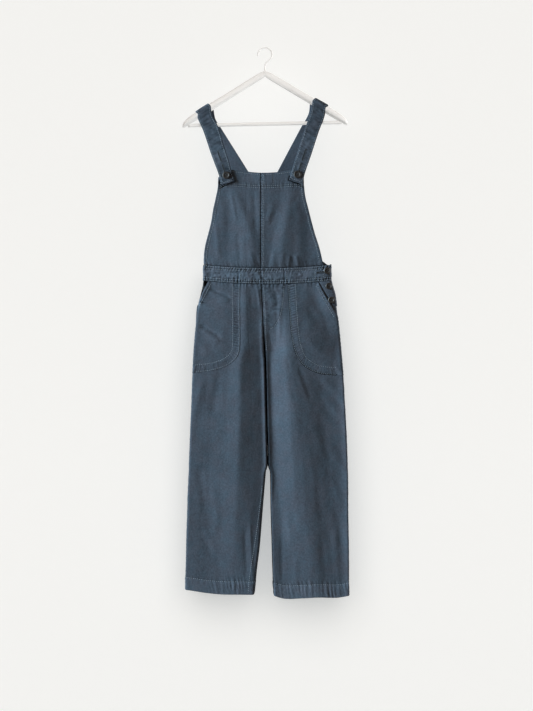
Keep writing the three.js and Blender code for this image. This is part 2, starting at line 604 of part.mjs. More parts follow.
// ---------------------------------------------------------------- legs
// One section of a leg panel, from the side seam to its inner edge.
function legRow(side, isFront, level) {
  const sign = side === "left" ? 1 : -1;
  const away = isFront ? -1 : 1;
  const outer = read(OUTLINE, "z", side, level);
  const inner = read(INNER, "z", side, level) - sign * HALF_GAP;
  const fine = [];
  const steps = 240;
  for (let k = 0; k <= steps; k += 1) {
    const t = 0.5 - 0.5 * Math.cos((Math.PI * k) / steps);
    const x = mix(outer, inner, t);
    const z = legRowZ(side, level, x);
    fine.push(new THREE.Vector3(x, away * legDepth(side, isFront, x, level), z));
  }
  return spaced(fine, LEG_COLUMNS);
}

// Points at the given shares of a line's length.
function spaced(line, shares) {
  const run = [0];
  for (let k = 1; k < line.length; k += 1) run.push(run[k - 1] + line[k].distanceTo(line[k - 1]));
  const total = run[run.length - 1];
  return shares.map((share) => {
    const goal = share * total;
    let k = 1;
    while (k < line.length - 1 && run[k] < goal) k += 1;
    const t = clamp01((goal - run[k - 1]) / (run[k] - run[k - 1]));
    return line[k - 1].clone().lerp(line[k], t);
  });
}

function legGrid(side, isFront) {
  const grid = LEG_LEVELS.map((level, r) => {
    const row = legRow(side, isFront, level);
    if (r === 0) row.forEach((p) => { p.z -= HALF_GAP; });
    return row;
  });
  const facing = (side === "left" ? 1 : -1) * (isFront ? 1 : -1);
  const normals = gridNormals(grid, facing);
  const inward = side === "left" ? 1 : -1;
  normals.forEach((row, r) => {
    const first = row[0];
    first.y = 0;
    first.normalize();
    const last = row[row.length - 1];
    if (LEG_LEVELS[r] <= CROTCH) last.y = 0;
    last.x = inward * Math.max(0, inward * last.x);
    last.normalize();
    if (r === 0) row.forEach((n) => { n.z = 0; n.normalize(); });
  });
  return { grid, normals };
}

const legs = {};
["left", "right"].forEach((side) => {
  [true, false].forEach((isFront) => {
    const { grid, normals } = legGrid(side, isFront);
    const body = shell(grid, moved(grid, normals, -CLOTH));
    const name = `${isFront ? "front" : "back"}_leg_${side}`;
    add(name, body, cloth);
    legs[name] = { grid, normals };
  });
});

// Pieces sewn on a front leg: the leg's own points moved out, then cut.
function patchOn(legName, outline) {
  const { grid, normals } = legs[legName];
  const rows = 12;
  const part = grid.slice(0, rows);
  const partNormals = normals.slice(0, rows);
  const layer = shell(moved(part, partNormals, SEAM_GAP + PATCH), moved(part, partNormals, SEAM_GAP));
  const cut = Manifold.intersection(toManifold(layer), toManifold(prism(outline, -90, 0)));
  return fromManifold(cut);
}

add("pocket_left", patchOn("front_leg_left", POCKET_LEFT), cloth);
add("pocket_right", patchOn("front_leg_right", POCKET_RIGHT), cloth);
add("side_placket", patchOn("front_leg_right", PLACKET), cloth);

// ---------------------------------------------------------------- waistband
function bandSolid(isFront, from, to, columns) {
  const away = isFront ? -1 : 1;
  const left = read(OUTLINE, "z", "left", WAIST_BOTTOM);
  const right = read(OUTLINE, "z", "right", WAIST_BOTTOM);
  const start = Math.max(left, from + HALF_GAP);
  const end = Math.min(right, to - HALF_GAP);
  const fine = [];
  for (let k = 0; k <= 300; k += 1) {
    const t = 0.5 - 0.5 * Math.cos((Math.PI * k) / 300);
    const x = mix(start, end, t);
    fine.push(new THREE.Vector3(x, away * bandDepth(isFront, x), 0));
  }
  const shares = Array.from({ length: columns }, (_, k) => k / (columns - 1));
  if (start === left) shares.splice(1, 0, 0.012, 0.03, 0.055);
  if (end === right) shares.splice(shares.length - 1, 0, 0.945, 0.97, 0.988);
  shares.sort((a, b) => a - b);
  const line = spaced(fine, shares);
  const grid = [0, 0.5, 1].map((t) => line.map((p) => {
    const rise = isFront ? 0 : BACK_RISE * smooth(60, 170, p.x);
    const top = WAIST_TOP - waistSag(p.x) - HALF_GAP + rise;
    const bottom = WAIST_BOTTOM - waistSag(p.x) + HALF_GAP;
    return new THREE.Vector3(p.x, p.y, mix(top, bottom, t));
  }));
  const normals = gridNormals(grid, isFront ? 1 : -1);
  normals.forEach((row) => {
    row.forEach((n) => { n.z = 0; n.normalize(); });
    if (start === left) row[0].set(-1, 0, 0);
    else row[0].set(0, away, 0);
    if (end === right) row[row.length - 1].set(1, 0, 0);
    else row[row.length - 1].set(0, away, 0);
  });
  return shell(moved(grid, normals, BAND_PROUD), moved(grid, normals, BAND_PROUD - BAND));
}

WAIST_SEAMS.forEach((w) => add(w.name, bandSolid(true, w.from, w.to, w.columns), cloth));
add("waistband_back", bandSolid(false, -400, 400, 16), cloth);

// ---------------------------------------------------------------- front bib
function bibHalf(side) {
  const sign = side === "left" ? 1 : -1;
  const grid = BIB_LEVELS.map((level, r) => BIB_COLUMNS.map((share) => {
    const edge = read(BIB_EDGES, "z", side, level);
    const seam = mix(-11, -10, clamp01((BIB_TOP - level) / 246)) - sign * HALF_GAP;
    const x = mix(edge, seam, share);
    const t = (BIB_TOP - level) / (BIB_TOP - WAIST_TOP);
    const gap = r === BIB_LEVELS.length - 1 ? HALF_GAP : 0;
    const z = level + bibLift(x, level) - waistSag(x) * t + gap;
    return new THREE.Vector3(x, -bibDepth(true, x, level), z);
  }));
  const normals = gridNormals(grid, sign);
  normals.forEach((row) => {
    const last = row[row.length - 1];
    last.x = 0;
    last.normalize();
  });
  normals[normals.length - 1].forEach((n) => { n.z = 0; n.normalize(); });
  return shell(grid, moved(grid, normals, -CLOTH));
}

add("bib_front_left", bibHalf("left"), cloth);
add("bib_front_right", bibHalf("right"), cloth);

// ---------------------------------------------------------------- back piece
function backPiece() {
  const shares = [0, 0.06, 0.16, 0.28, 0.4, 0.5, 0.6, 0.72, 0.84, 0.94, 1];
  const downs = [0, 0.09, 0.18, 0.28, 0.38, 0.48, 0.58, 0.67, 0.76, 0.84, 0.92, 1];
  const grid = downs.map((down) => shares.map((share) => {
    const left = read(BACK_EDGES, "at", "left", down);
    const right = read(BACK_EDGES, "at", "right", down);
    const x = mix(left, right, share);
    const corner = share < 0.5 ? BACK_PEAK.left : BACK_PEAK.right;
    const peak = mix(BACK_PEAK.z, corner, Math.abs(2 * share - 1)) - 2 * SEAM_GAP;
    const rise = BACK_RISE * smooth(60, 170, x);
    const foot = WAIST_TOP - waistSag(x) + HALF_GAP + rise;
    const z = mix(peak, foot, down);
    return new THREE.Vector3(x, bibDepth(false, x, z), z);
  }));
  const normals = gridNormals(grid, -1);
  normals[0].forEach((n) => { n.z = 0; n.normalize(); });
  normals[normals.length - 1].forEach((n) => { n.z = 0; n.normalize(); });
  return shell(grid, moved(grid, normals, -CLOTH));
}

add("back_piece", backPiece(), cloth);

// ---------------------------------------------------------------- hanger
function armSection(x) {
  const away = Math.abs(x);
  const foot = ARM_FOOT - (x < 0 ? ARM_SLOPE_LEFT : ARM_SLOPE_RIGHT) * away;
  const depth = read(ARM_SECTIONS, "at", "depth", away);
  const height = read(ARM_SECTIONS, "at", "height", away);
  const full = read(ARM_SECTIONS, "at", "height", Math.min(away, 185));
  return { y: depth / 2, z: height / 2, middle: foot + full / 2 - (full - height) * 0.25 };
}

function squared(v) {
  return Math.sign(v) * Math.abs(v) ** ARM_POWER;
}

function armPoint(x, angle, out) {
  const s = armSection(x);
  const y = (s.y + out) * squared(Math.sin(angle));
  const z = s.middle + (s.z + out) * squared(Math.cos(angle));
  return new THREE.Vector3(x, y, z);
}

function hangerBody() {
  const xs = [...ARM_STATIONS.slice(1).reverse().map((v) => -v), ...ARM_STATIONS];
  const rings = xs.map((x) => Array.from({ length: 18 }, (_, k) => armPoint(x, (k / 18) * 2 * Math.PI, 0)));
  let solid = toManifold(loft(rings));
  solid = Manifold.difference(solid, toManifold(barSolid(BAR_RADIUS + SEAM_GAP, BAR_REACH + SEAM_GAP)));
  solid = Manifold.difference(solid, toManifold(hookSolid(HOOK_WIRE + SEAM_GAP, HOOK_FOOT - SEAM_GAP)));
  return fromManifold(solid);
}

function barSolid(radius, reach) {
  const rings = [-reach, reach].map((x) => Array.from({ length: 20 }, (_, k) => {
    const a = (k / 20) * 2 * Math.PI;
    return new THREE.Vector3(x, radius * Math.cos(a), BAR_HEIGHT + BAR_TILT * x + radius * Math.sin(a));
  }));
  return loft(rings);
}

// Wire from the foot in the hanger, up, round and over to the open end.
function hookSolid(radius, foot) {
  const middle = -HOOK_BEND + HOOK_WIRE;
  const line = [new THREE.Vector3(0, 0, foot), new THREE.Vector3(0, 0, -50)];
  line.push(new THREE.Vector3(0.6, 0, -44), new THREE.Vector3(3.2, 0, -39));
  line.push(new THREE.Vector3(7.8, 0, -35.2));
  for (let a = -52; a <= 192; a += 12.2) {
    const t = (a / 180) * Math.PI;
    line.push(new THREE.Vector3(HOOK_BEND * Math.cos(t), 0, middle + HOOK_BEND * Math.sin(t)));
  }
  const rings = line.map((p, k) => {
    const d = line[Math.min(line.length - 1, k + 1)].clone().sub(line[Math.max(0, k - 1)]).normalize();
    const across = new THREE.Vector3(d.z, 0, -d.x);
    return Array.from({ length: 12 }, (_, j) => {
      const a = (j / 12) * 2 * Math.PI;
      return p.clone().addScaledVector(across, radius * Math.cos(a))
        .add(new THREE.Vector3(0, radius * Math.sin(a), 0));
    });
  });
  return loft(rings);
}

add("hanger_body", hangerBody(), whiteWood);
add("hanger_bar", barSolid(BAR_RADIUS, BAR_REACH), whiteWood);
add("hanger_hook", hookSolid(HOOK_WIRE, HOOK_FOOT), whiteMetal);

// ---------------------------------------------------------------- straps
// Each row holds the strap's inner face, across its width, and the way out.
function strapRows(side) {
  const s = STRAPS[side];
  const outward = Math.sign(s.topIn);
  const rows = [];
  const free = (r, way) => {
    const onBib = r.yi === STRAP_HANG;
    const points = STRAP_COLUMNS.map((share) => {
      const x = mix(r.xi, r.xo, share);
      const z = mix(r.zi, r.zo, share);
      const y = onBib ? -strapLift(x, z) : mix(r.yi, r.yo, share);
      return new THREE.Vector3(x, y, z);
    });
    const turned = new THREE.Vector3((r.yi - r.yo) * outward, way * Math.abs(r.xo - r.xi), 0);
    turned.x *= way;
    turned.normalize();
    rows.push({ points, outs: points.map(() => turned) });
  };
  [...s.front].reverse().forEach((r) => free(r, -1));
  STRAP_OVER.forEach((degrees) => {
    const angle = (degrees / 180) * Math.PI;
    const lean = degrees < 0 ? s.leanFront : s.leanBack;
    const points = STRAP_COLUMNS.map((share) => {
      const x = mix(s.topIn, s.topOut, share) - outward * lean * Math.abs(degrees / 90) ** 3;
      return armPoint(x, angle, 0.6);
    });
    const outs = points.map((p) => armPoint(p.x, angle, 0.6 + BAND).sub(p).divideScalar(BAND));
    rows.push({ points, outs });
  });
  s.back.forEach((r) => free(r, 1));
  return rows;
}

function strapSolid(side) {
  const rows = strapRows(side);
  const inner = rows.map((r) => r.points);
  const outer = rows.map((r) => r.points.map((p, k) => p.clone().addScaledVector(r.outs[k], BAND)));
  return shell(outer, inner);
}

add("strap_left", strapSolid("left"), cloth);
add("strap_right", strapSolid("right"), cloth);

// ---------------------------------------------------------------- buttons
// Turned disc with a rounded rim, its back at the given point.
function buttonSolid(size, at, facing) {
  const { radius, thick } = size;
  const profile = [
    { r: radius - 1.2, h: 0 }, { r: radius, h: 1.2 }, { r: radius, h: thick - 1.2 },
    { r: radius - 1.2, h: thick },
  ];
  const n = facing.clone().normalize();
  const u = new THREE.Vector3(0, 0, 1).addScaledVector(n, -n.z).normalize();
  const v = new THREE.Vector3().crossVectors(n, u);
  const rings = profile.map((p) => Array.from({ length: 24 }, (_, k) => {
    const a = (k / 24) * 2 * Math.PI;
    return at.clone().addScaledVector(n, p.h)
      .addScaledVector(u, p.r * Math.cos(a)).addScaledVector(v, p.r * Math.sin(a));
  }));
  return loft(rings);
}

STRAP_BUTTONS.forEach((b) => {
  const at = new THREE.Vector3(b.x, -(strapLift(b.x, b.z) + BAND + 0.5), b.z);
  add(b.name, buttonSolid(BUTTON_STRAP, at, new THREE.Vector3(0, -1, 0)), buttonStuff);
});

// Side buttons lean with the cloth and rest on its highest spot under them.
function coverDepth(onBand, x, z) {
  if (onBand) return bandDepth(true, x) + BAND_PROUD;
  const level = z + waistSag(x) * smooth(-770, -640, z);
  return legDepth("right", true, x, level) + SEAM_GAP + PATCH;
}

SIDE_BUTTONS.forEach((b, k) => {
  const onBand = k === 0;
  const radius = BUTTON_SIDE.radius;
  const far = coverDepth(onBand, b.x - radius - 4, b.z);
  const near = coverDepth(onBand, b.x + 2, b.z);
  const slope = (far - near) / (radius + 6);
  const facing = new THREE.Vector3(slope, -1, 0).normalize();
  let lift = 0;
  for (let i = -6; i <= 6; i += 1) {
    for (let j = -6; j <= 6; j += 1) {
      const dx = (i / 6) * radius;
      const dz = (j / 6) * radius;
      const inside = Math.hypot(dx, dz) <= radius;
      const edge = read(OUTLINE, "z", "right", Math.min(WAIST_BOTTOM, b.z + dz));
      if (inside && b.x + dx < edge - 0.3) {
        lift = Math.max(lift, coverDepth(onBand, b.x + dx, b.z + dz) + slope * dx);
      }
    }
  }
  const at = new THREE.Vector3(b.x, -(lift + b.clear), b.z);
  add(b.name, buttonSolid(BUTTON_SIDE, at, facing), buttonStuff);
});

export default group;
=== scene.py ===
"""Bib-and-brace jumpsuit in washed twill, hung by its straps on a wooden hanger."""
import json
import math
from functools import partial

import bmesh
import bpy
import numpy as np
from bpy.props import FloatProperty, FloatVectorProperty, PointerProperty
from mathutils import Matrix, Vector

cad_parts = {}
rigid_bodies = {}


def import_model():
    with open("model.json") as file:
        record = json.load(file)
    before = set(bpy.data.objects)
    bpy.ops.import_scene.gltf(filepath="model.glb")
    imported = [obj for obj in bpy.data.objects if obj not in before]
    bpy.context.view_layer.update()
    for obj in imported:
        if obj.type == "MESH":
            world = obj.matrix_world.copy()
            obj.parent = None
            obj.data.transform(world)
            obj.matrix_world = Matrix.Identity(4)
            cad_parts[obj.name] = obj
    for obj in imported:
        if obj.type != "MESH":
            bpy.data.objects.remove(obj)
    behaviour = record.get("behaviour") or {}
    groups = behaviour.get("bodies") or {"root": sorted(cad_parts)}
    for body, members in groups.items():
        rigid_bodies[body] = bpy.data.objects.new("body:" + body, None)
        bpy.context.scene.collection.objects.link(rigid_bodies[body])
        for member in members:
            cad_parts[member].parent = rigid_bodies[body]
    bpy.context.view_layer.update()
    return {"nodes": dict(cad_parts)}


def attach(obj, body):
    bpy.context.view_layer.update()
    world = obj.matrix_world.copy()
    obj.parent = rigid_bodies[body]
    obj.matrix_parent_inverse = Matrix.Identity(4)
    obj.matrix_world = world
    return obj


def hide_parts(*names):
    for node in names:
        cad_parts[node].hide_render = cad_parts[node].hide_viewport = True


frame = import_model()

bl_info = {
    "name": "Hung jumpsuit",
    "version": (1, 0, 0),
    "blender": (4, 5, 0),
    "location": "View3D > Sidebar > Jumpsuit",
    "description": "Builds a bib-and-brace jumpsuit on a hanger around its solid frame",
    "category": "Add Mesh",
}

MM = 0.001

# ------------------------------------------------------------------ sizes, mm
# x runs across the garment as seen from the front, y to its back, z up from the hook's level.
INWARD = {"left": 1, "right": -1}    # which way x runs from a side's outer edge to the middle
SEAM = 0.15                     # half the gap between two sewn pieces
CLOTH = 1.6                     # thickness of a single panel, of the band and straps, of a pocket
BAND = 3.0
PATCH = 1.5
BIB_TOP = -340
WAIST_TOP = -589
WAIST_BOTTOM = -632
WAIST_SAG = 9                   # how far the waist hangs lower at its middle
WAIST_MIDDLE = 6
WAIST_HALF = 172
BACK_RISE = 4                   # how far the back waistband stands higher at the side opening
CROTCH = -850
HEM_LEVEL = -1470
HEM_DEEP = 35
SIDE_EDGE = (5, 0.97, 40)       # radius of the tight fold, its share, then the run
INSEAM_EDGE = (4.5, 0.97, 40)
BIB_SEAM = -11                  # x of the bib's middle seam
BIB_TOP_DEPTH = 27
BACK_TOP_DEPTH = 29
BAND_PROUD = 0.8                # how far the waistband stands out from the panels
STRAP_HANG = -28.2              # depth that stands for a strap lying on the bib


def table(names, rows):
    """Rows under named columns; the first column is what the others are read by."""
    names = names.split()
    data = np.array(sorted(rows), float)
    out = {"at": data[:, 0]}
    for k, name in enumerate(names[1:], 1):
        v = data[:, k]
        lo = np.maximum(np.arange(len(v)) - 1, 0)
        hi = np.minimum(np.arange(len(v)) + 1, len(v) - 1)
        out[name] = (v, (v[hi] - v[lo]) / (data[hi, 0] - data[lo, 0]))
    return out


def read(t, name, k):
    """Smooth reading of one column between its rows."""
    keys = t["at"]
    v, m = t[name]
    k = np.clip(np.asarray(k, float), keys[0], keys[-1])
    i = np.clip(np.searchsorted(keys, k, side="right") - 1, 0, len(keys) - 2)
    span = keys[i + 1] - keys[i]
    s = (k - keys[i]) / span
    s2, s3 = s * s, s * s * s
    return (v[i] * (2 * s3 - 3 * s2 + 1) + m[i] * span * (s3 - 2 * s2 + s)
            + v[i + 1] * (3 * s2 - 2 * s3) + m[i + 1] * span * (s3 - s2))


OUTLINE = table("z left right front back", [
    (-585, -165, 178, 32, 34), (-634, -167.5, 180, 34, 37), (-667, -175, 189, 36, 41),
    (-699, -180.8, 193.6, 38, 44), (-764, -188.6, 201.6, 40, 47), (-829, -193.8, 207.4, 40, 46),
    (-894, -197.2, 213.2, 38, 43), (-958, -199.6, 217, 36, 40), (-1056, -203.8, 222, 34, 37),
    (-1153, -207.8, 225.4, 33, 35), (-1250, -211, 225.8, 32, 34), (-1347, -214, 227.6, 32, 34),
    (-1490, -217, 228, 33, 35)])
INNER = table("z left right turn", [
    (-585, -10, -10, 0), (-640, -9, -9, 0), (-700, -6, -6, 0.01), (-760, -4, -4, 0.04),
    (-800, -2, -2, 0.22), (-830, 0, 0, 0.7), (-850, 1, 1, 1), (-900, 2.2, 2.2, 1),
    (-1000, 4.6, 4.6, 1), (-1100, 7, 7.4, 1), (-1134, 7, 8, 1), (-1144, 3, 12.6, 1),
    (-1160, 1.4, 13.8, 1), (-1250, -6, 15, 1), (-1347, -14, 18, 1), (-1412, -22, 20, 1),
    (-1490, -29, 24, 1)])
HEMS = {
    "left": table("x z", [(-218, -1461), (-185, -1466), (-151, -1471), (-113, -1474),
                          (-70, -1474), (-24, -1474)]),
    "right": table("x z", [(20, -1477), (54, -1486), (100, -1484), (140, -1481),
                           (192, -1481), (228, -1475)])}
BIB_EDGES = table("z left right", [
    (-340, -125.5, 104), (-375, -127, 105), (-408, -132, 109), (-440, -139, 117),
    (-472, -144, 125), (-505, -152, 134), (-537, -160, 144), (-570, -164.2, 152),
    (-592, -164.6, 156)])
BIB_TOP_EDGE = table("x z", [
    (-128, -357), (-119, -349), (-108, -339), (-94, -334), (-55, -338), (-10, -342),
    (36, -340), (72, -335), (88, -336), (97, -341), (105, -350)])
BACK_EDGES = table("at left right", [
    (0, -35.4, 32.2), (0.18, -42, 40), (0.38, -57, 58), (0.58, -82, 86), (0.76, -114, 120),
    (0.9, -144, 152), (1, -161, 172)])
BACK_PEAK = (-399.5, -420, -418)     # middle, left and right corner
ARM = table("at depth height", [
    (0, 13, 20), (25, 13.5, 21), (60, 16, 21.5), (100, 22, 21), (150, 30, 22),
    (185, 33, 21.5), (205, 32, 20), (215, 28, 16.5), (221, 20, 12), (224, 9, 6)])
ARM_LONG = 224
ARM_PEAK = -78                  # level of the arms' top at the middle
ARM_SLOPES = (0.628, 0.595)
ARM_POWER = 0.75                # below one for a section squarer than an ellipse
RAIL_HALF = 209
RAIL_LEVEL = -205
RAIL_LEAN = 0.0205
RAIL_RADIUS = 5
HOOK_RADIUS = 19
HOOK_MIDDLE = -17
HOOK_SHANK = [(0, -63), (0, -56), (0, -50), (0.6, -44), (3.2, -39), (7.8, -35.2)]
WIRE_RADIUS = 2

# How the cloth hangs: at each level, places across the panel and how far out each is.
LEG_RELIEF = {
    ("left", True): {
        -640: [(-168, 0), (-140, -0.5), (-104, 0.4), (-76, 1), (-53, 3.4), (-33, 2.6), (-20, 2.2), (-9, 1.6)],
        -690: [(-179, 0), (-140, 0.5), (-104, 2), (-75, 2), (-52, 5.5), (-30, 3), (-17, 1.5), (-6.5, 1)],
        -740: [(-186, 0), (-142, 0), (-104, 0.8), (-74, 0.8), (-52, 3.6), (-27, 0), (-15, -1), (-5, -1)],
        -800: [(-191, 0), (-148, 0), (-105, 1.2), (-80, 2), (-54, 4.8), (-26, 0), (-12, -1.4), (-2, -2)],
        -860: [(-195, 0), (-152, -0.2), (-120, 0.8), (-95, 2), (-66, 5.4), (-28, -1.8), (-12, -3.6), (1, -4)],
        -930: [(-199, 0), (-162, -0.4), (-125, -0.4), (-100, 0.8), (-67, 5.6), (-26, -1), (-12, -3), (3, -4)],
        -1000: [(-201, 0), (-170, 0), (-140, 0), (-105, 1.8), (-68, 6.2), (-25, -0.6), (-10, -2.8),
                (4.6, -4)],
        -1080: [(-204, 0), (-170, -0.6), (-148, -0.8), (-110, 1.6), (-69, 6.2), (-26, -0.4), (-10, -2.6),
                (6, -4)],
        -1180: [(-209, 0), (-170, -0.8), (-150, -1), (-110, 2.8), (-74, 6.8), (-34, 2.8), (-14, 0), (0, -1)],
        -1280: [(-212, 0), (-175, -1), (-150, -1.8), (-115, 0.8), (-78, 6), (-45, 5.2), (-24, 3), (-9, 1.6)],
        -1380: [(-214, 0), (-180, -0.8), (-148, -1.4), (-122, -0.4), (-80, 4.6), (-56, 5.2), (-36, 5.6),
                (-18, 6)],
        -1475: [(-217, 0), (-180, 0), (-150, 0), (-120, 0.5), (-88, 2.6), (-60, 4.4), (-42, 5.6),
                (-29, 6.2)]},
    ("right", True): {
        -640: [(-9, 1.6), (12, 1), (30, 0.8), (50, 1.8), (66, 0.6), (84, -0.4), (128, -3), (140, -1.6),
               (156, 0.6), (180, 0)],
        -690: [(-6.5, 1), (12, 1), (30, 1.5), (52, 5), (67, 4.4), (85, 4), (136, -3), (148, -2.4),
               (176, 1.8), (192, 0.5)],
        -740: [(-5, -1), (12, -1.2), (32, -0.8), (54, 5.6), (68, 6), (86, 5.6), (148, -1), (162, -2.6),
               (192, 1), (199, 1)],
        -800: [(-2, -2), (13, -4), (29, -4), (57, 8.8), (70, 9.8), (90, 8.8), (130, 6.4), (174, 1.6),
               (192, 0.4), (204, 1)],
        -860: [(1, -4), (10, -4), (20, -3.4), (56, 9.4), (70, 11), (112, 8), (140, 7.2), (160, 7.6),
               (184, 6.8), (210, 9)],
        -930: [(3, -4), (12, -4), (22, -3.6), (64, 12), (78, 13.6), (108, 11.6), (150, 6.2), (168, 6.6),
               (188, 7.2), (215, 10.5)],
        -1000: [(5, -4), (14, -4), (24, -3.6), (68, 13), (82, 15), (122, 12.4), (168, 7), (180, 7),
                (198, 8.4), (218, 11)],
        -1080: [(7, -4), (16, -4), (28, -3.8), (72, 12.8), (96, 15.4), (125, 14), (170, 8.6), (186, 8),
                (204, 8.4), (222, 10.6)],
        -1180: [(14, -3), (24, -3.2), (34, -3), (80, 12.6), (104, 15.6), (130, 14.6), (178, 11), (192, 10.8),
                (206, 11.8), (226, 14.4)],
        -1280: [(16, -2), (30, -2.8), (44, -2.8), (86, 10.2), (108, 14.6), (126, 14.6), (164, 11.2),
                (182, 11.6), (206, 13), (227, 16)],
        -1380: [(19, -1), (38, -2.2), (54, -2.2), (92, 5), (122, 11), (140, 12.4), (176, 10), (192, 10),
                (208, 11), (228, 14)],
        -1480: [(24, 0), (44, -1.4), (60, -1.2), (92, 1.2), (120, 5.8), (140, 7.6), (175, 8.6), (195, 9.4),
                (210, 10), (228, 12)]},
    ("left", False): {
        -640: [(-168, 0), (-130, 1), (-96, -1), (-64, 2), (-40, -1), (-20, 1), (-9, 0)],
        -760: [(-188, 0), (-146, 2), (-112, -3), (-72, 5), (-40, -4), (-18, -2), (-4, -2)],
        -900: [(-197, 0), (-150, 3), (-118, -4), (-76, 8), (-30, -5), (-12, -5), (2, -5)],
        -1100: [(-205, 0), (-160, 2.5), (-124, -4), (-78, 9), (-30, -4), (-12, -4), (6, -4)],
        -1300: [(-212, 0), (-168, 2), (-134, -3), (-88, 7), (-46, -1), (-24, -1), (-10, 0)],
        -1475: [(-217, 0), (-175, 1), (-140, -1), (-100, 3), (-60, 0), (-40, 0), (-29, 0)]},
    ("right", False): {
        -640: [(-9, 0), (14, 0), (42, 2), (72, -1), (104, 2.5), (142, 0), (180, 0)],
        -760: [(-4, -2), (15, -2), (48, 5), (84, -3), (120, 4), (164, -1), (201, 0)],
        -900: [(2.4, -5), (16, -5), (58, 8), (98, -3), (138, 5), (180, -2), (213, 0)],
        -1100: [(7.5, -4), (22, -4), (70, 9), (114, -4), (154, 5), (194, -2), (223, 0)],
        -1300: [(16.5, -2), (32, -2), (86, 8), (126, -3), (164, 4), (200, -1), (226.5, 0)],
        -1480: [(24, 0), (50, 0), (100, 3), (134, -1), (165, 2), (200, 0), (228, 0)]}}
BIB_RELIEF = {
    -345: [(-125, 0), (-116, 0), (-104, -0.4), (-82, -0.6), (-66, -0.8), (-40, -0.8), (-11, 0), (10, 0.2),
           (40, 0.2), (66, 0), (80, -0.4), (88, -0.6), (96, -0.8), (104, -0.8)],
    -392: [(-129, 0), (-118, 0.2), (-103, -0.4), (-79, 1.6), (-62, 0.4), (-40, 0.6), (-11, 0),
           (12, 0), (46, -1.4), (68, -0.2), (82, -1.6), (87, -2.2), (98, -3.2), (107, -3.2)],
    -430: [(-137, 0), (-116, 0.9), (-100, 0.2), (-66, 4.4), (-46, 2.6), (-32, 3), (-11, 2.6),
           (10, 2.2), (40, 0.6), (65, 3.8), (80, 1.8), (88, 1.2), (104, -1), (115, -1.4)],
    -500: [(-151, 0), (-114, 2), (-99, 1.2), (-41, 8.4), (-24, 6.8), (-17, 6.2), (-11, 5.8),
           (4, 4.9), (26, 4.5), (51, 8.8), (81, 4.8), (90, 4.4), (115, 1), (131, 0.8)],
    -560: [(-163, 0), (-114, 1), (-100, 1), (-34, 8.4), (-20, 7.6), (-15, 7), (-11, 6.6),
           (2, 5.6), (9, 5.2), (43, 9), (76, 5.8), (90, 6), (114, 3), (149, 5)],
    -590: [(-165, 0), (-120, 0.6), (-96, 1.2), (-40, 4.2), (-24, 3.2), (-16, 2.8), (-11, 2.4),
           (2, 2), (12, 1.8), (42, 2.6), (76, 1), (90, 0.6), (110, 0.2), (156, 1.5)]}
BAND_RELIEF = {
    -632: [(-168, 0), (-120, 0.6), (-96, 1.2), (-40, 3.8), (-22, 2.6), (2, 1.6), (24, 1.8), (76, 0.6),
           (104, -0.8), (150, 1), (180, 0.5)]}
FOLD_SOFT = 7                   # how gradually one slope turns into the next
# Creases: from (x0, z0) to (x1, z1), half width, and how far out (+) or in (-).
LEG_CREASES = {
    True: [
        (-150, -652, -92, -672, 5, -2.0), (-146, -664, -96, -684, 7, 1.3),
        (-172, -752, -119, -784, 6, -2.0), (-168, -766, -122, -798, 8, 1.2),
        (-120, -868, -142, -1000, 10, -0.7), (-168, -900, -190, -1000, 10, 1.0),
        (-20, -640, -13, -700, 4, 1.1), (-40, -640, -34, -700, 7, -0.8),
        (-10, -740, -8, -850, 3.5, 0.9), (10, -650, 22, -700, 8, 1.2), (30, -650, 34, -700, 6, -1.0),
        (8, -700, 14, -760, 7, -0.3), (25, -700, 26, -756, 6, 0.6), (12, -772, 22, -830, 6, -0.9),
        (40, -700, 38, -790, 6, 1.6), (84, -868, 112, -948, 6, 0.7), (92, -868, 122, -946, 6, -0.8),
        (66, -890, 84, -960, 8, -0.6), (150, -892, 214, -952, 8, 1.1), (150, -912, 214, -978, 8, -1.1),
        (160, -970, 212, -1030, 9, -0.8), (158, -950, 214, -1006, 8, 0.8),
        (150, -1000, 176, -1130, 10, -0.7), (164, -1070, 216, -1140, 9, 0.9),
        (150, -1110, 200, -1190, 10, -0.8), (128, -1010, 152, -1100, 10, 0.7),
        (112, -1080, 132, -1170, 9, 0.6), (176, -1150, 206, -1240, 9, 0.9),
        (140, -1180, 154, -1290, 9, -0.6), (190, -1240, 206, -1340, 10, -1.2),
        (-176, -1140, -160, -1260, 10, -1.0), (-168, -1330, -116, -1400, 10, -1.1),
        (-160, -1310, -128, -1360, 8, 1.0), (-140, -1180, -126, -1300, 10, 0.9),
        (-40, -1290, -34, -1430, 4, 1.2), (-54, -1300, -50, -1420, 6, -1.2),
        (60, -1250, 70, -1340, 8, 1.0), (44, -1320, 46, -1430, 6, -1.2),
        (84, -1360, 82, -1440, 8, 0.9), (150, -1330, 166, -1430, 10, -0.9),
        (186, -1300, 196, -1420, 9, 1.2), (-190, -780, -150, -830, 10, 0.9),
        (110, -700, 150, -760, 10, -1.0), (96, -780, 150, -820, 10, 1.0)],
    False: [
        (-120, -690, -60, -740, 10, -1.6), (60, -700, 126, -680, 10, -1.6),
        (-30, -800, -100, -845, 8, -2.0), (34, -806, 104, -850, 8, -2.0),
        (-34, -826, -96, -872, 8, 1.4), (38, -830, 100, -878, 8, 1.4),
        (-60, -900, -110, -950, 10, -1.5), (70, -910, 120, -970, 10, -1.5),
        (-170, -1000, -130, -1080, 12, 1.2), (170, -1020, 130, -1100, 12, 1.2),
        (-60, -1150, -50, -1400, 12, 1.5), (60, -1180, 64, -1420, 12, -1.5),
        (-150, -1200, -170, -1330, 10, -1.4), (150, -1220, 170, -1350, 10, -1.4)]}
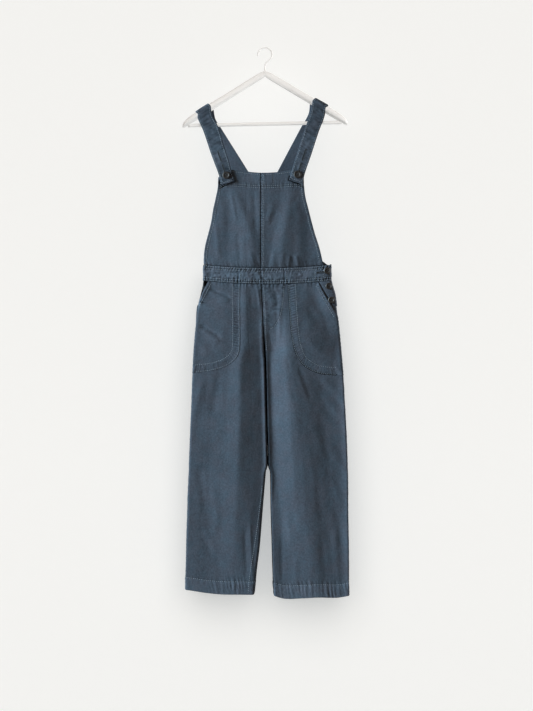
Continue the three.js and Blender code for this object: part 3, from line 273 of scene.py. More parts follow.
BIB_CREASES = [
    (-132, -470, -124, -570, 7, 1.0), (-72, -500, -66, -585, 6, -0.9), (-30, -400, -24, -500, 7, -1.0),
    (-40, -548, -30, -588, 5, 0.8), (-24, -556, -16, -588, 4, -0.6), (14, -556, 8, -588, 4, -0.6),
    (24, -550, 18, -588, 5, 0.7), (38, -556, 34, -588, 5, -0.5), (48, -552, 46, -588, 5, 0.5),
    (30, -440, 14, -480, 7, -0.7), (22, -420, 8, -470, 7, 0.6), (84, -560, 90, -588, 4, 1.2),
    (72, -556, 78, -588, 4, -0.9), (-90, -400, -78, -470, 5, 0.9), (66, -560, 62, -588, 4, 1.0)]

POCKETS = {
    "left": {"edge": [(-67, -632), (-67, -700), (-67, -815), (-72, -832), (-84, -848),
                      (-101, -860), (-124, -869), (-150, -875), (-186, -879)],
             "mouth": ((-152, -632), (-184, -699))},
    "right": {"edge": [(61, -632), (64, -700), (69, -771), (76, -812), (90, -845),
                       (112, -867), (147, -882), (190, -886)],
              "mouth": ((142, -632), (196, -731))}}
RISE_ROW = 5.5                  # from the middle seam to its row of stitches
NO_ROW = 40                     # so far from a seam that no row is pinched in
POCKET_ROWS = (2.4, 20.5)       # from a pocket's edge to its two rows of stitches
POCKET_BETWEEN = sum(POCKET_ROWS) / 2
MOUTH_ROW = 9                   # from a pocket's mouth to its row of stitches
MOUTH_BOW = 2.2                 # how far a pocket's mouth bows inward
PLACKET = ((143, -632.2), (179.6, -699), -700)
WAIST_SEAMS = (-71, -9.5, 52)
BUTTONHOLE_BOX = (134, 157)     # rows of stitches beside the waistband's buttonhole
BIB_BOX = 22                    # end of the doubled cloth at the bib's middle
FLY_STITCH = table("z x", [(-636, 51), (-690, 47), (-729, 39), (-748, 29), (-758, 20), (-762, 12)])

STRAPS = {
    "left": dict(top=(-154, -188), lean=(7, 12), front=[
        (-144, -182, -19, -181, -193, -17.4), (-127, -216, -21.4, -166, -227, -17),
        (-107.5, -278, -25.4, -145, -289, -17.6), (-97, -312, -28, -133, -322, -26.6),
        (-93, -329, -28.2, -127, -338, -28.2), (-88, -344, -28.2, -122, -353, -28.2),
        (-81, -365, -28.2, -115.5, -375, -28.2)], back=[
        (-136, -187, 18.6, -169, -207, 18.6), (-122, -210, 20, -155, -230, 20),
        (-84, -270, 23, -116.6, -290.5, 23), (-43.6, -334, 26, -76.2, -354.5, 26),
        (-2.2, -399.4, 28.6, -35.4, -419.9, 28.6)]),
    "right": dict(top=(137, 171), lean=(8, 13), front=[
        (125.3, -171, -18.4, 160.5, -187, -18.4), (110, -217, -20.6, 144.5, -230, -20.6),
        (91, -278, -24, 125, -290, -24), (76, -326, -28.2, 108.5, -338, -28.2),
        (71, -343, -28.2, 104, -354, -28.2), (65.5, -361, -28.2, 100.5, -373, -28.2)], back=[
        (119, -174, 18.6, 153, -192, 18.6), (99, -210, 20, 133, -228, 20),
        (66.8, -270, 23, 100.8, -288, 23), (32.7, -334, 26, 66.7, -352, 26),
        (-1.8, -399.4, 28.6, 32.2, -417.9, 28.6)])}
TABS = {"left": ((-123.5, -352), (-117, -377), (-82, -367), (-88, -345)),
        "right": ((66, -355), (64, -363), (99.5, -375), (104.5, -356))}
STRAP_BUTTONS = {"button_strap_left": (-104, -349), "button_strap_right": (87, -347)}
SIDE_BUTTONS = {"button_side_upper": (167, -606), "button_side_middle": (171.5, -647),
                "button_side_lower": (178.4, -684)}


# ------------------------------------------------------------------ small maths
def smooth(a, b, v):
    """Soft step from 0 at a to 1 at b."""
    t = np.clip((np.asarray(v, float) - a) / (b - a), 0, 1)
    return t * t * (3 - 2 * t)


def bump(d, half):
    """Round rise of height one about d = 0, gone at about twice the half width."""
    return np.exp(-((d / half) ** 2))


def unit(v):
    """The same directions at length one."""
    return v / np.maximum(np.linalg.norm(v, axis=-1, keepdims=True), 1e-9)


def turn(count):
    """Angles evenly round a circle."""
    return np.arange(count) / count * 2 * math.pi


def running(*steps):
    """Length from the start of a line to each of its points, from its steps along each axis."""
    return np.concatenate([[0], np.cumsum(np.sqrt(sum(step ** 2 for step in steps)))])


def wave(t, length, seed):
    """Uneven ripple along t, from -1 to 1, of about the given length."""
    a = 2 * math.pi * t / length
    p = 1.7 * seed
    drift = 1.5 * np.sin(a / 3.7 + p) + 0.8 * np.sin(a / 7.9 + 2.1 * p)
    height = 0.62 + 0.24 * np.sin(a / 5.3 + 3.3 * p) + 0.14 * np.sin(a / 2.3 + p)
    return np.sin(a + drift + p) * height


def pucker(t, d, length, reach, seed, shear=0.0):
    """Ripples that cross a seam at t and fade with the distance d from it."""
    return wave(t + shear * d, length, seed) * bump(d, reach)


def ladder(t, d, pitch, half, seed):
    """Short uneven dips, like rungs, across a seam between its two rows of stitches; in the tone they are
    painted shade of the dips.
    """
    swell = 0.72 + 0.28 * np.sin(t / 31 + 2.1 * seed + 1.3 * np.sin(t / 47 + seed))
    rung = np.sin(2 * math.pi * (t + 0.25 * d) / pitch + 1.1 * np.sin(t / 13 + seed)
                  + 0.9 * np.sin(t / 7.3 + 2 * seed))
    return swell * smooth(-0.1, 0.8, rung) * bump(d, half)


_lattice = np.random.default_rng(71).uniform(-1, 1, (64, 64))


def mottle(u, v, size, seed=0):
    """Smooth uneven patches of about the given size, from -1 to 1."""
    a = u / size + 11.3 * seed
    b = v / size + 5.7 * seed
    i, j = np.floor(a).astype(int), np.floor(b).astype(int)
    fa, fb = a - i, b - j
    fa, fb = fa * fa * (3 - 2 * fa), fb * fb * (3 - 2 * fb)

    def g(p, q):
        return _lattice[p % 64, q % 64]
    return ((g(i, j) * (1 - fa) + g(i + 1, j) * fa) * (1 - fb)
            + (g(i, j + 1) * (1 - fa) + g(i + 1, j + 1) * fa) * fb)


# ------------------------------------------------------------------ garment form
def edge_depth(s, edge):
    """Share of the full depth at s from a folded edge."""
    radius, share, run = edge
    tight = np.sqrt(np.maximum(0, 1 - (1 - np.clip(s / radius, 0, 1)) ** 2))
    return share * tight + (1 - share) * np.sin(math.pi / 2 * np.clip(s / run, 0, 1))


class Relief:
    """Given sections of hanging cloth: straight slopes with softly rounded bends."""

    def __init__(self, rows):
        levels = sorted(rows)
        if len(levels) == 1:
            levels = levels * 2
        lines = zip(*(rows[z] for z in levels))
        self.lines = [table("z x h", [(z + k * 0.01, *p) for k, (z, p) in enumerate(zip(levels, line))])
                      for line in lines]

    def __call__(self, x, z):
        x, z = np.broadcast_arrays(np.asarray(x, float), np.asarray(z, float))
        X = [read(t, "x", z) for t in self.lines]
        H = [read(t, "h", z) for t in self.lines]
        total = np.zeros(x.shape)
        for share, shift in ((1, -1), (2, -0.5), (3, 0), (2, 0.5), (1, 1)):
            q = x + shift * FOLD_SOFT
            h = H[0]
            for k in range(len(X) - 1):
                t = np.clip((q - X[k]) / (X[k + 1] - X[k]), 0, 1)
                h = h + (H[k + 1] - H[k]) * t
            total = total + share / 9 * h
        return total


LEG_FORM = {key: Relief(rows) for key, rows in LEG_RELIEF.items()}
BIB_FORM = Relief(BIB_RELIEF)
BAND_FORM = Relief(BAND_RELIEF)


def folds_at(folds, x, z):
    """Depth added by straight creases, each with its ends, half width and height."""
    total = np.zeros(np.broadcast(x, z).shape)
    for x0, z0, x1, z1, half, out in folds:
        dx, dz = x1 - x0, z1 - z0
        length = math.hypot(dx, dz)
        t = ((x - x0) * dx + (z - z0) * dz) / length ** 2
        off = ((x - x0) * dz - (z - z0) * dx) / length
        total += out * smooth(-0.12, 0.14, t) * (1 - smooth(0.82, 1.1, t)) * bump(off, half)
    return total


def waist_sag(x):
    """How far the waist hangs down at x."""
    return WAIST_SAG * np.maximum(0, 1 - ((x - WAIST_MIDDLE) / WAIST_HALF) ** 2)


def leg_edges(side, x, level):
    """Distance of x from the leg's outer and inner edge."""
    outer, inner = read(OUTLINE, side, level), read(INNER, side, level)
    sign = INWARD[side]
    return np.maximum(0, sign * (x - outer)), np.maximum(0, sign * (inner - x))


def leg_depth(side, front, x, level):
    """Depth of a leg panel's smooth face, with its folds and creases."""
    s_out, s_in = leg_edges(side, x, level)
    turn = read(INNER, "turn", level)
    full = read(OUTLINE, "front" if front else "back", level)
    body = full * edge_depth(s_out, SIDE_EDGE) * (1 - turn * (1 - edge_depth(s_in, INSEAM_EDGE)))
    folds = LEG_FORM[side, front](x, level)
    creases = folds_at(LEG_CREASES[front], x, level)
    inner_run = 5 + 9 * smooth(-1250, -1150, level)
    calm = smooth(0, 4, s_out) * (1 - turn * (1 - smooth(0, inner_run, s_in)))
    near = smooth(0, 14, s_out) * (1 - turn * (1 - smooth(0, 12, s_in)))
    return np.maximum(SEAM, body + folds * calm + creases * near)


def leg_z(side, level, x):
    """Height of a point of the legs, from its level on an even waist and hem."""
    sag = waist_sag(x) * smooth(-770, -640, level)
    hem = read(HEMS[side], "z", x) - HEM_LEVEL
    return level - sag + hem * smooth(-1250, -1470, level)


def band_depth(front, x):
    """Depth of the waistband's smooth face."""
    z = WAIST_BOTTOM
    s = np.maximum(0, np.minimum(x - read(OUTLINE, "left", z), read(OUTLINE, "right", z) - x))
    body = read(OUTLINE, "front" if front else "back", z) * edge_depth(s, SIDE_EDGE)
    relief = BAND_FORM(x, z) * smooth(0, 16, s) if front else 0
    return np.maximum(SEAM, body + relief)


def bib_depth(front, x, level):
    """Depth of the bib, or of the back piece, at a level."""
    t = np.clip((level - WAIST_TOP) / (BIB_TOP - WAIST_TOP), 0, 1)
    ease = np.sin(math.pi / 2 * t)
    body = band_depth(front, x) * (1 - ease) + (BIB_TOP_DEPTH if front else BACK_TOP_DEPTH) * ease
    if front:
        body = body - BAND_FORM(x, WAIST_BOTTOM) * (1 - ease)
        body = body + BIB_FORM(x, level) + folds_at(BIB_CREASES, x, level)
    return body


def bib_lift(x, level):
    """How far the bib's top edge lifts or drops its cloth."""
    t = (BIB_TOP - level) / (BIB_TOP - WAIST_TOP)
    return (read(BIB_TOP_EDGE, "z", x) - BIB_TOP) * (1 - smooth(0, 0.3, t))


def strap_lift(x, z):
    """Depth of a strap that lies on the bib, and runs on above it."""
    level = np.array(z, float)
    for _ in range(6):
        level = level + 0.7 * (z - bib_lift(x, level) - level)
    return np.maximum(-STRAP_HANG, bib_depth(True, x, np.minimum(BIB_TOP, level)) + 0.6)


def arm_point(x, angle, out):
    """Point round the hanger's arms at x, standing off their wood by out."""
    x = np.asarray(x, float)
    away = np.abs(x)
    slope = np.where(x < 0, *ARM_SLOPES)
    depth, height = read(ARM, "depth", away), read(ARM, "height", away)
    full = read(ARM, "height", np.minimum(away, 185))
    middle = ARM_PEAK - slope * away + full / 2 - (full - height) * 0.25
    side, up = (np.sign(v) * np.abs(v) ** ARM_POWER for v in (np.sin(angle), np.cos(angle)))
    y = (depth / 2 + out) * side
    z = middle + (height / 2 + out) * up
    return np.stack(np.broadcast_arrays(x, y, z), -1)


# ------------------------------------------------------------------ sewn detail
def seam_edge(d, bank, stitch):
    """Profile beside a seam: a groove at it, a raised bank, a pinched stitch row."""
    return (-1.0 * bump(d, 1.5) + bank * (1 - smooth(6, 16, d)) * smooth(0.8, 2.6, d)
            - 0.3 * bump(d - stitch, 1.2))


def wear_and_groove_shade(ripple, shape):
    """Tone from the relief: paler where the dye is rubbed off what stands up, darker in the grooves as
    painted shade.
    """
    return 0.85 * ripple + 1.1 * shape


def hem_part(side, front, x, up, seed):
    """Sewn hem: height of the doubled cloth, its groove, its ripple and how dark it is."""
    left = side == "left"
    plain = 0.22 + 0.78 * smooth(-165, -105, x) if left else 0.75 + 0.25 * smooth(60, 190, x)
    inside = 1 - smooth(HEM_DEEP - 2, HEM_DEEP + 1, up)
    fade = np.where(up < HEM_DEEP, 0.4 + 0.6 * smooth(-4, 12, up), bump(up - HEM_DEEP, 9))
    lean = 0.12 * up + 3 * mottle(x, 1.6 * up, 40, seed + 6)
    ripple = wave(x + lean, 11.5, seed + 4) * (0.72 + 0.5 * mottle(x, up, 46, seed + 5))
    # the rungs go into the tone as painted shade of the dips
    rungs = plain * ladder(x, up - 0.5 * HEM_DEEP, 8.3, 0.62 * HEM_DEEP, seed + 7)
    pale = 0.85 if front and not left else 0.6
    return (0.6 * inside, -0.8 * bump(up - HEM_DEEP + 1.5, 1.7), 1.3 * plain * fade * ripple,
            1.5 * rungs - pale * inside)


def mouth_part(x, level, s_out):
    """The left front pressed in behind its pocket's mouth, with painted shade in the gap."""
    open_by, along = mouth_place("left", x, level)
    gap = smooth(-0.03, 0.1, along) * (1 - smooth(0.8, 1.05, along))
    return (0, -6.5 * gap * bump(open_by - 2.9, 3.6), 0,
            3 * gap * smooth(-0.5, 1, open_by) * smooth(0.9, 3.2, s_out))


def fly_part(x, level, s_out, s_in):
    """The right front's sewn fly, in the same four measures, with painted shade by its rows and the inner
    edge, and painted light along its outer side.
    """
    off = x - read(FLY_STITCH, "x", level)
    on = smooth(-770, -756, level)
    inside = on * (1 - smooth(-1, 1.5, off))
    rungs = ladder(level, off - 4, 7.7, 9, 8.9)
    rungs += 0.8 * ladder(x, WAIST_BOTTOM - level - 5, 8.1, 9, 9.7)
    # painted shade of the rungs' dips and along the inner edge
    deep = on * (0.9 * rungs + 0.5 * (1 - smooth(6, 24, s_in)))
    deep += inside * (0.25 + 0.9 * mottle(x, level, 5, 9.1))
    # painted light: paler along the outer side, where the cloth turns away from the light
    deep -= 1.2 * (1 - smooth(5, 32, s_out)) * smooth(-860, -930, level)
    deep -= 1.3 * (1 - smooth(6, 24, s_out)) * smooth(-640, -680, level) * smooth(-770, -735, level)
    return (0.5 * inside * smooth(1, 9, s_in), -0.5 * on * bump(off, 1.5),
            0.6 * on * pucker(level, off, 8, 6, 8.3, 0.5), deep)


def leg_detail(side, front, x, level):
    """Height of the sewn detail on a leg panel, and its tone, painted shade and light included."""
    s_out, s_in = leg_edges(side, x, level)
    left = side == "left"
    below = WAIST_BOTTOM - level
    seed = (1 if left else 2) + (0 if front else 5)
    rise = level > CROTCH
    ripple = 0.75 * pucker(x, below, 12, 13, seed) + 0.30 * pucker(level, s_out, 12, 8, seed + 1, 0.5)
    ripple += np.where(rise, 0.5 * pucker(level, s_in, 9, 9, seed + 2, 0.6),
                       0.3 * pucker(level, s_in, 15, 8, seed + 3))
    shape = seam_edge(s_in, 0.25, NO_ROW) if left else seam_edge(s_in, 0.2, RISE_ROW)
    shape = np.where(rise, 1, 0.4) * shape + 0.5 * seam_edge(s_out, 0.3, NO_ROW) - 1.1 * bump(below, 1.8)
    # painted shade: the left leg darker at its outer edge, the right leg at its inner edge
    if left:
        deep = 1.4 * (1 - smooth(2, 9, s_out))
    else:
        rim = 0.25 * (1 - smooth(7, 16, s_in)) + 1.9 * (1 - smooth(4.5, 7.5, s_in))
        deep = rim * smooth(-740, -800, level) * (1 - 0.6 * smooth(-1120, -1220, level))
    parts = [hem_part(side, front, x, level - HEM_LEVEL, seed)]
    if front:
        parts.append(mouth_part(x, level, s_out) if left else fly_part(x, level, s_out, s_in))
    raised, grooves, ripples, shades = (sum(part) for part in zip(*parts))
    shape, ripple = shape + grooves, ripple + ripples
    rough = 0.22 * mottle(x, level, 17, seed) + 0.12 * mottle(x, level, 7, seed + 1)
    rough += 0.5 * mottle(x, 0.6 * level, 36, seed + 2) * smooth(20, 60, below)
    return shape + raised + ripple + rough, wear_and_groove_shade(ripple, shape) + 0.25 * rough - deep - shades


def mouth_place(side, x, level):
    """How far outside a pocket's mouth a place lies, and its share of the mouth's length."""
    (x0, z0), (x1, z1) = POCKETS[side]["mouth"]
    length = math.hypot(x1 - x0, z1 - z0)
    sign = INWARD[side]
    off = sign * ((x - x0) * (z1 - z0) - (level - z0) * (x1 - x0)) / length
    along = ((x - x0) * (x1 - x0) + (level - z0) * (z1 - z0)) / length ** 2
    return off - MOUTH_BOW * np.sin(math.pi * np.clip(along, 0, 1)), along


def tab_shade(side, x, level):
    """Painted shadow on the bib close round the end of a strap."""
    (x0, z0), (x1, z1), (x2, z2), (x3, z3) = TABS[side]
    ends = ((x0, z0, x1, z1, 1.0), (x1, z1, x2, z2, 1.0), (x2, z2, x3, z3, 0.15))
    total = np.zeros(np.broadcast(x, level).shape)
    for ax, az, bx, bz, depth in ends:
        dx, dz = bx - ax, bz - az
        t = np.clip(((x - ax) * dx + (level - az) * dz) / (dx * dx + dz * dz), 0, 1)
        away = np.hypot(x - ax - t * dx, level - az - t * dz)
        total = np.maximum(total, depth * (1 - smooth(1.2, 4.6, away)))
    return 5 * total


def bib_detail(side, x, level):
    """Height of one half of the bib, and its tone, painted shade included."""
    edge = np.abs(x - read(BIB_EDGES, side, level))
    seam = np.abs(x - BIB_SEAM - 0.5)
    seed = 11 if side == "left" else 12
    down = BIB_TOP - level
    up = level - WAIST_TOP
    ripple = 0.45 * pucker(level, seam, 9, 8, seed, 0.6)
    ripple += 0.5 * pucker(level, edge, 11, 7, seed + 1, 0.6)
    ripple += 0.5 * pucker(x, up, 12, 12, seed + 2, 0.3)
    ripple += 0.45 * pucker(x, down - 35, 9, 8, seed + 3) + 0.3 * pucker(x, down - 4, 9, 5, seed + 4)
    shape = seam_edge(seam, 0.25, NO_ROW) if side == "left" else seam_edge(seam, 0.3, RISE_ROW)
    raised = 0.7 * (1 - smooth(33, 36, down)) + 0.6 * (1 - smooth(8, 10, edge))
    shape -= 0.5 * bump(down - 34, 1.5) + 0.5 * bump(down - 39, 1.4)
    shape -= 0.5 * bump(edge - 7, 1.3) + 1.1 * bump(up, 1.8)
    shape -= 0.35 * bump(down - 4, 1.3)
    if side == "right":
        box = x - BIB_BOX
        on = smooth(37, 34, down)
        raised = raised + 0.4 * on * (1 - smooth(-1, 1, box))
        shape -= 0.5 * on * bump(box, 1.4)
    rough = 0.22 * mottle(x, level, 15, seed) + 0.12 * mottle(x, level, 6, seed + 1)
    # painted shade in the tone: the rungs' dips, the side edges and round the strap's end
    rungs = 0.8 * ladder(x, up - 2, 7.3, 12, seed + 5) + 0.5 * ladder(level, edge - 3, 7.1, 7, seed + 6)
    rungs += 0.8 * (1 - smooth(0.5, 3, edge)) + 0.6 * tab_shade(side, x, level)
    rungs += (0.7 if side == "left" else 1.5) * ladder(level, seam - 3, 7.7, 7, seed + 7)
    rungs += 1.0 * ladder(x, down - 36, 6.9, 7, seed + 8) + 0.6 * ladder(x, down - 4, 7.4, 6, seed + 9)
    # painted shade in broad bands down the bib
    if side == "left":
        rungs += 0.4 * bump(x + 101, 17) * smooth(-400, -450, level)
        rungs += 0.5 * bump(x + 18, 15) * smooth(-420, -480, level)
    else:
        rungs += 0.45 * bump(x - 112, 22) * smooth(-400, -450, level)
    return shape + raised + ripple + rough, wear_and_groove_shade(ripple, shape) + 0.25 * rough - rungs


def band_detail(front, x, t):
    """Waistband: t runs from 0 at its top to 1 at its foot."""
    deep = WAIST_TOP - WAIST_BOTTOM
    d = np.minimum(t, 1 - t) * deep
    seed = 21 if front else 23
    calm = 0.75 + 0.25 * smooth(-140, -60, x)
    ripple = 0.42 * calm * wave(x + 10 * t, 9.5, seed) * (0.35 + 0.65 * bump(d - 6, 5))
    ripple += 0.55 * wave(x - 18 * t, 15, seed + 1) * bump(x + 8, 34)
    ripple += 0.3 * wave(deep * t + 0.1 * x, 13, seed + 5) * smooth(4, 12, d)
    ripple += 0.6 * mottle(x + 8 * t, 1.4 * deep * t, 9, seed + 6) * smooth(2, 8, d)
    rungs = calm * ladder(x + 14 * t, d - 6, 7.2, 7, seed + 7)
    shape = -0.9 * bump(d, 1.5) - 0.5 * bump(d - 3.4, 1.2) - 0.5 * bump(d - 9.5, 1.4)
    if front:
        for k, at in enumerate(WAIST_SEAMS):
            off = x - at
            shape += -0.8 * bump(off, 1.5) + 0.25 * bump(off - 3.8, 2.4) - 0.3 * bump(off - 6.5, 1.2)
            ripple += 0.45 * pucker(deep * t, off, 9, 7, seed + 2 + k)
        shape -= 0.45 * sum(bump(x - end, 1.3) for end in BUTTONHOLE_BOX) * smooth(3, 6, d)
    rough = 0.2 * mottle(x, deep * t, 9, seed) + 0.35 * mottle(x, deep * t, 4.5, seed + 3)
    # painted shade in the tone: the rungs' dips, and darker towards the left end, most on the front
    return (shape + ripple + rough - 0.35 * rungs,
            wear_and_groove_shade(ripple, shape) + 0.6 * rough - 4.0 * rungs + 0.75 * calm
            - (1.5 * (1 - smooth(-166, -138, x)) if front else 0))


# ------------------------------------------------------------------ surfaces
def normals_of(P, facing):
    """Ways out of a grid of points."""
    du = np.gradient(P, axis=1)
    dv = np.gradient(P, axis=0)
    return unit(np.cross(dv, du) * facing)


def leg_base(side, front, x, level):
    """Point of a smooth leg panel."""
    y = leg_depth(side, front, x, level) * (-1 if front else 1)
    return np.stack(np.broadcast_arrays(x, y, leg_z(side, level, x)), -1)


def bib_base(x, level):
    """Point of the smooth bib."""
    t = (BIB_TOP - level) / (BIB_TOP - WAIST_TOP)
    z = level + bib_lift(x, level) - waist_sag(x) * t
    return np.stack(np.broadcast_arrays(x, -bib_depth(True, x, level), z), -1)


def band_base(front, x, t):
    """Point of the smooth waistband; t runs from its top to its foot."""
    rise = 0 if front else BACK_RISE * smooth(60, 170, x)
    top, foot = WAIST_TOP - waist_sag(x) - SEAM + rise, WAIST_BOTTOM - waist_sag(x) + SEAM
    y = band_depth(front, x) * (-1 if front else 1)
    return np.stack(np.broadcast_arrays(x, y, top + (foot - top) * t), -1)


def back_base(share, down):
    """Point of the smooth back piece, by its share of the width and of the way down."""
    x = read(BACK_EDGES, "left", down) * (1 - share) + read(BACK_EDGES, "right", down) * share
    corner = np.where(share < 0.5, BACK_PEAK[1], BACK_PEAK[2])
    peak = BACK_PEAK[0] + (corner - BACK_PEAK[0]) * np.abs(2 * share - 1) - 4 * SEAM
    foot = WAIST_TOP - waist_sag(x) + SEAM + BACK_RISE * smooth(60, 170, x)
    z = peak + (foot - peak) * down
    return np.stack(np.broadcast_arrays(x, bib_depth(False, x, z), z), -1)


def surface_of(base, detail, facing=1, step=0.4):
    """A function of two places on a panel, with its finished points and the way out."""
    def at(u, v):
        a = base(u + step, v) - base(u - step, v)
        b = base(u, v - step) - base(u, v + step)
        n = unit(np.cross(b, a) * facing)
        return base(u, v) + n * detail(u, v)[0][..., None], n
    return at


def leg_surface(side, front=True):
    """Finished surface of a leg panel, as a function of x and level."""
    return surface_of(partial(leg_base, side, front), partial(leg_detail, side, front), 1 if front else -1)


def pocket_surface(side):
    """Finished surface of a scoop pocket, as a function of x and level."""
    return surface_of(partial(leg_base, side, True), partial(pocket_height, side))


def bib_surface(side):
    """Finished surface of one half of the bib, as a function of x and level."""
    return surface_of(bib_base, partial(bib_detail, side))


def band_surface(front=True, step=0.4):
    """Finished surface of the waistband, as a function of x and t."""
    def at(x, t):
        height = BAND_PROUD + band_detail(front, x, t)[0]
        P = band_base(front, x, t)
        a = band_base(front, x + step, t) - P
        n = unit(np.stack([a[..., 1], -a[..., 0], 0 * a[..., 0]], -1) * (1 if front else -1))
        return P + n * height[..., None], n
    return at


# ------------------------------------------------------------------ meshes
def make_mesh(name, verts, quads, uv=None, wear=None, smooth_shade=True):
    """Mesh object in metres from points in millimetres."""
    mesh = bpy.data.meshes.new(name)
    verts = np.asarray(verts, np.float32).reshape(-1, 3) * MM
    quads = np.asarray(quads, np.int32)
    sides = quads.shape[1]
    mesh.vertices.add(len(verts))
    mesh.vertices.foreach_set("co", verts.ravel())
    mesh.loops.add(quads.size)
    mesh.loops.foreach_set("vertex_index", quads.ravel())
    mesh.polygons.add(len(quads))
    mesh.polygons.foreach_set("loop_start", np.arange(0, quads.size, sides, dtype=np.int32))
    mesh.polygons.foreach_set("use_smooth", np.full(len(quads), smooth_shade))
    if uv is not None:
        layer = mesh.uv_layers.new(name="Cloth")
        layer.data.foreach_set("uv", (np.asarray(uv, np.float32) * MM)[quads.ravel()].ravel())
    # per-point tone: rubbed dye, and painted shade and light
    if wear is not None:
        layer = mesh.attributes.new("wear", "FLOAT", "POINT")
        layer.data.foreach_set("value", np.asarray(wear, np.float32).ravel())
    mesh.update(calc_edges=True)
    mesh.validate()
    obj = bpy.data.objects.new(name, mesh)
    bpy.context.scene.collection.objects.link(obj)
    return obj


def grid_quads(rows, cols, start=0, flip=False):
    """Faces of a grid of points."""
    r, c = np.meshgrid(np.arange(rows - 1), np.arange(cols - 1), indexing="ij")
    a = (start + r * cols + c).ravel()
    q = np.stack([a, a + 1, a + cols + 1, a + cols], -1)
    return q[:, ::-1] if flip else q


def cloth_uv(P):
    """Place of each point in the cloth, measured along it."""
    du = np.linalg.norm(np.diff(P, axis=1), axis=-1)
    dv = np.linalg.norm(np.diff(P, axis=0), axis=-1)
    rows, cols = P.shape[:2]
    u = np.zeros((rows, cols))
    v = np.zeros((rows, cols))
    u[:, 1:] = np.cumsum(du, axis=1)
    u -= u[:, cols // 2:cols // 2 + 1]
    v[1:] = np.cumsum(np.tile(dv.mean(1, keepdims=True), (1, cols)), axis=0)
    return np.stack([u, v], -1)


def shell_object(name, P, N, thick, wear, facing, free=(0, 0, 0, 0)):
    """Closed shell: outer grid P, its way out N, wall thick; free edges are rounded.

    free says how far each edge (first row, last row, first and last column) bulges."""
    rows, cols = P.shape[:2]
    thick = np.broadcast_to(thick, (rows, cols))
    Q = P - N * thick[..., None]
    uv = cloth_uv(P)
    verts = [P.reshape(-1, 3), Q.reshape(-1, 3)]
    uvs = [uv.reshape(-1, 2), uv.reshape(-1, 2)]
    wear_and_shading_parts = [wear.ravel(), wear.ravel() * 0]
    quads = [grid_quads(rows, cols), grid_quads(rows, cols, rows * cols, True)]
    base = 2 * rows * cols
    index = np.arange(rows * cols).reshape(rows, cols)
    edges = [(index[0], P[0] - P[1], free[0], True), (index[-1], P[-1] - P[-2], free[1], False),
             (index[:, 0], P[:, 0] - P[:, 1], free[2], False),
             (index[:, -1], P[:, -1] - P[:, -2], free[3], True)]
    (flat_p, flat_q), flat_uv = verts, uvs[0]
    corner = {}                  # the rims share their points at the corners
    rim_wear = 0.5 if free[3] else 0.0
    for ids, away, bulge, flip in edges:
        away = unit(away)
        chain = [ids]
        for t in (0.25, 0.5, 0.75):
            ring = flat_p[ids] * (1 - t) + flat_q[ids] * t + away * bulge * math.sin(math.pi * t)
            here = np.full(len(ids), -1)
            for j in (0, -1):
                here[j] = corner.get((ids[j], t), -1)
            fresh = here < 0
            here[fresh] = base + np.arange(fresh.sum())
            base += fresh.sum()
            for j in (0, -1):
                corner[ids[j], t] = here[j]
            verts.append(ring[fresh])
            uvs.append(flat_uv[ids[fresh]])
            wear_and_shading_parts.append(np.full(fresh.sum(), rim_wear))
            chain.append(here)
        chain.append(ids + rows * cols)
        for a, b in zip(chain[:-1], chain[1:]):
            q = np.stack([a[:-1], b[:-1], b[1:], a[1:]], -1)
            quads.append(q if flip else q[:, ::-1])
    quads = np.concatenate(quads)
    return make_mesh(name, np.concatenate(verts), quads[:, ::-1] if facing > 0 else quads,
                     np.concatenate(uvs), np.concatenate(wear_and_shading_parts))


def loft_object(name, rings):
    """Closed loft through rings (n, m, 3), ends drawn to a middle point."""
    rings = np.asarray(rings, float)
    n, m = rings.shape[:2]
    caps = rings[[0, -1]].mean(1, keepdims=True)
    inner = rings[[0, -1]] * 0.5 + caps * 0.5
    full = np.concatenate([inner[:1], rings, inner[1:]])
    n += 2
    verts = np.concatenate([full.reshape(-1, 3), caps[:, 0]])
    r, c = np.meshgrid(np.arange(n - 1), np.arange(m), indexing="ij")
    a, b = (r * m + c).ravel(), (r * m + (c + 1) % m).ravel()
    quads = np.stack([a, b, b + m, a + m], -1)
    k = np.arange(m)
    first = np.stack([np.full(m, n * m), (k + 1) % m, k], -1)
    last = np.stack([np.full(m, n * m + 1), (n - 1) * m + k, (n - 1) * m + (k + 1) % m], -1)
    obj = make_mesh(name, verts, quads)
    bm = bmesh.new()
    bm.from_mesh(obj.data)
    bm.verts.ensure_lookup_table()
    for tri in (*first, *last):
        bm.faces.new([bm.verts[int(i)] for i in tri]).smooth = True
    bmesh.ops.recalc_face_normals(bm, faces=bm.faces)
    bm.to_mesh(obj.data)
    bm.free()
    return obj


def spread(length, edge, fine, coarse):
    """Positions from 0 to length, close together within edge of both ends."""
    ends = np.arange(0, edge, fine)
    middle = np.linspace(edge, length - edge, max(2, int((length - 2 * edge) / coarse)) + 1)
    return np.concatenate([ends, middle, (length - ends)[::-1]])


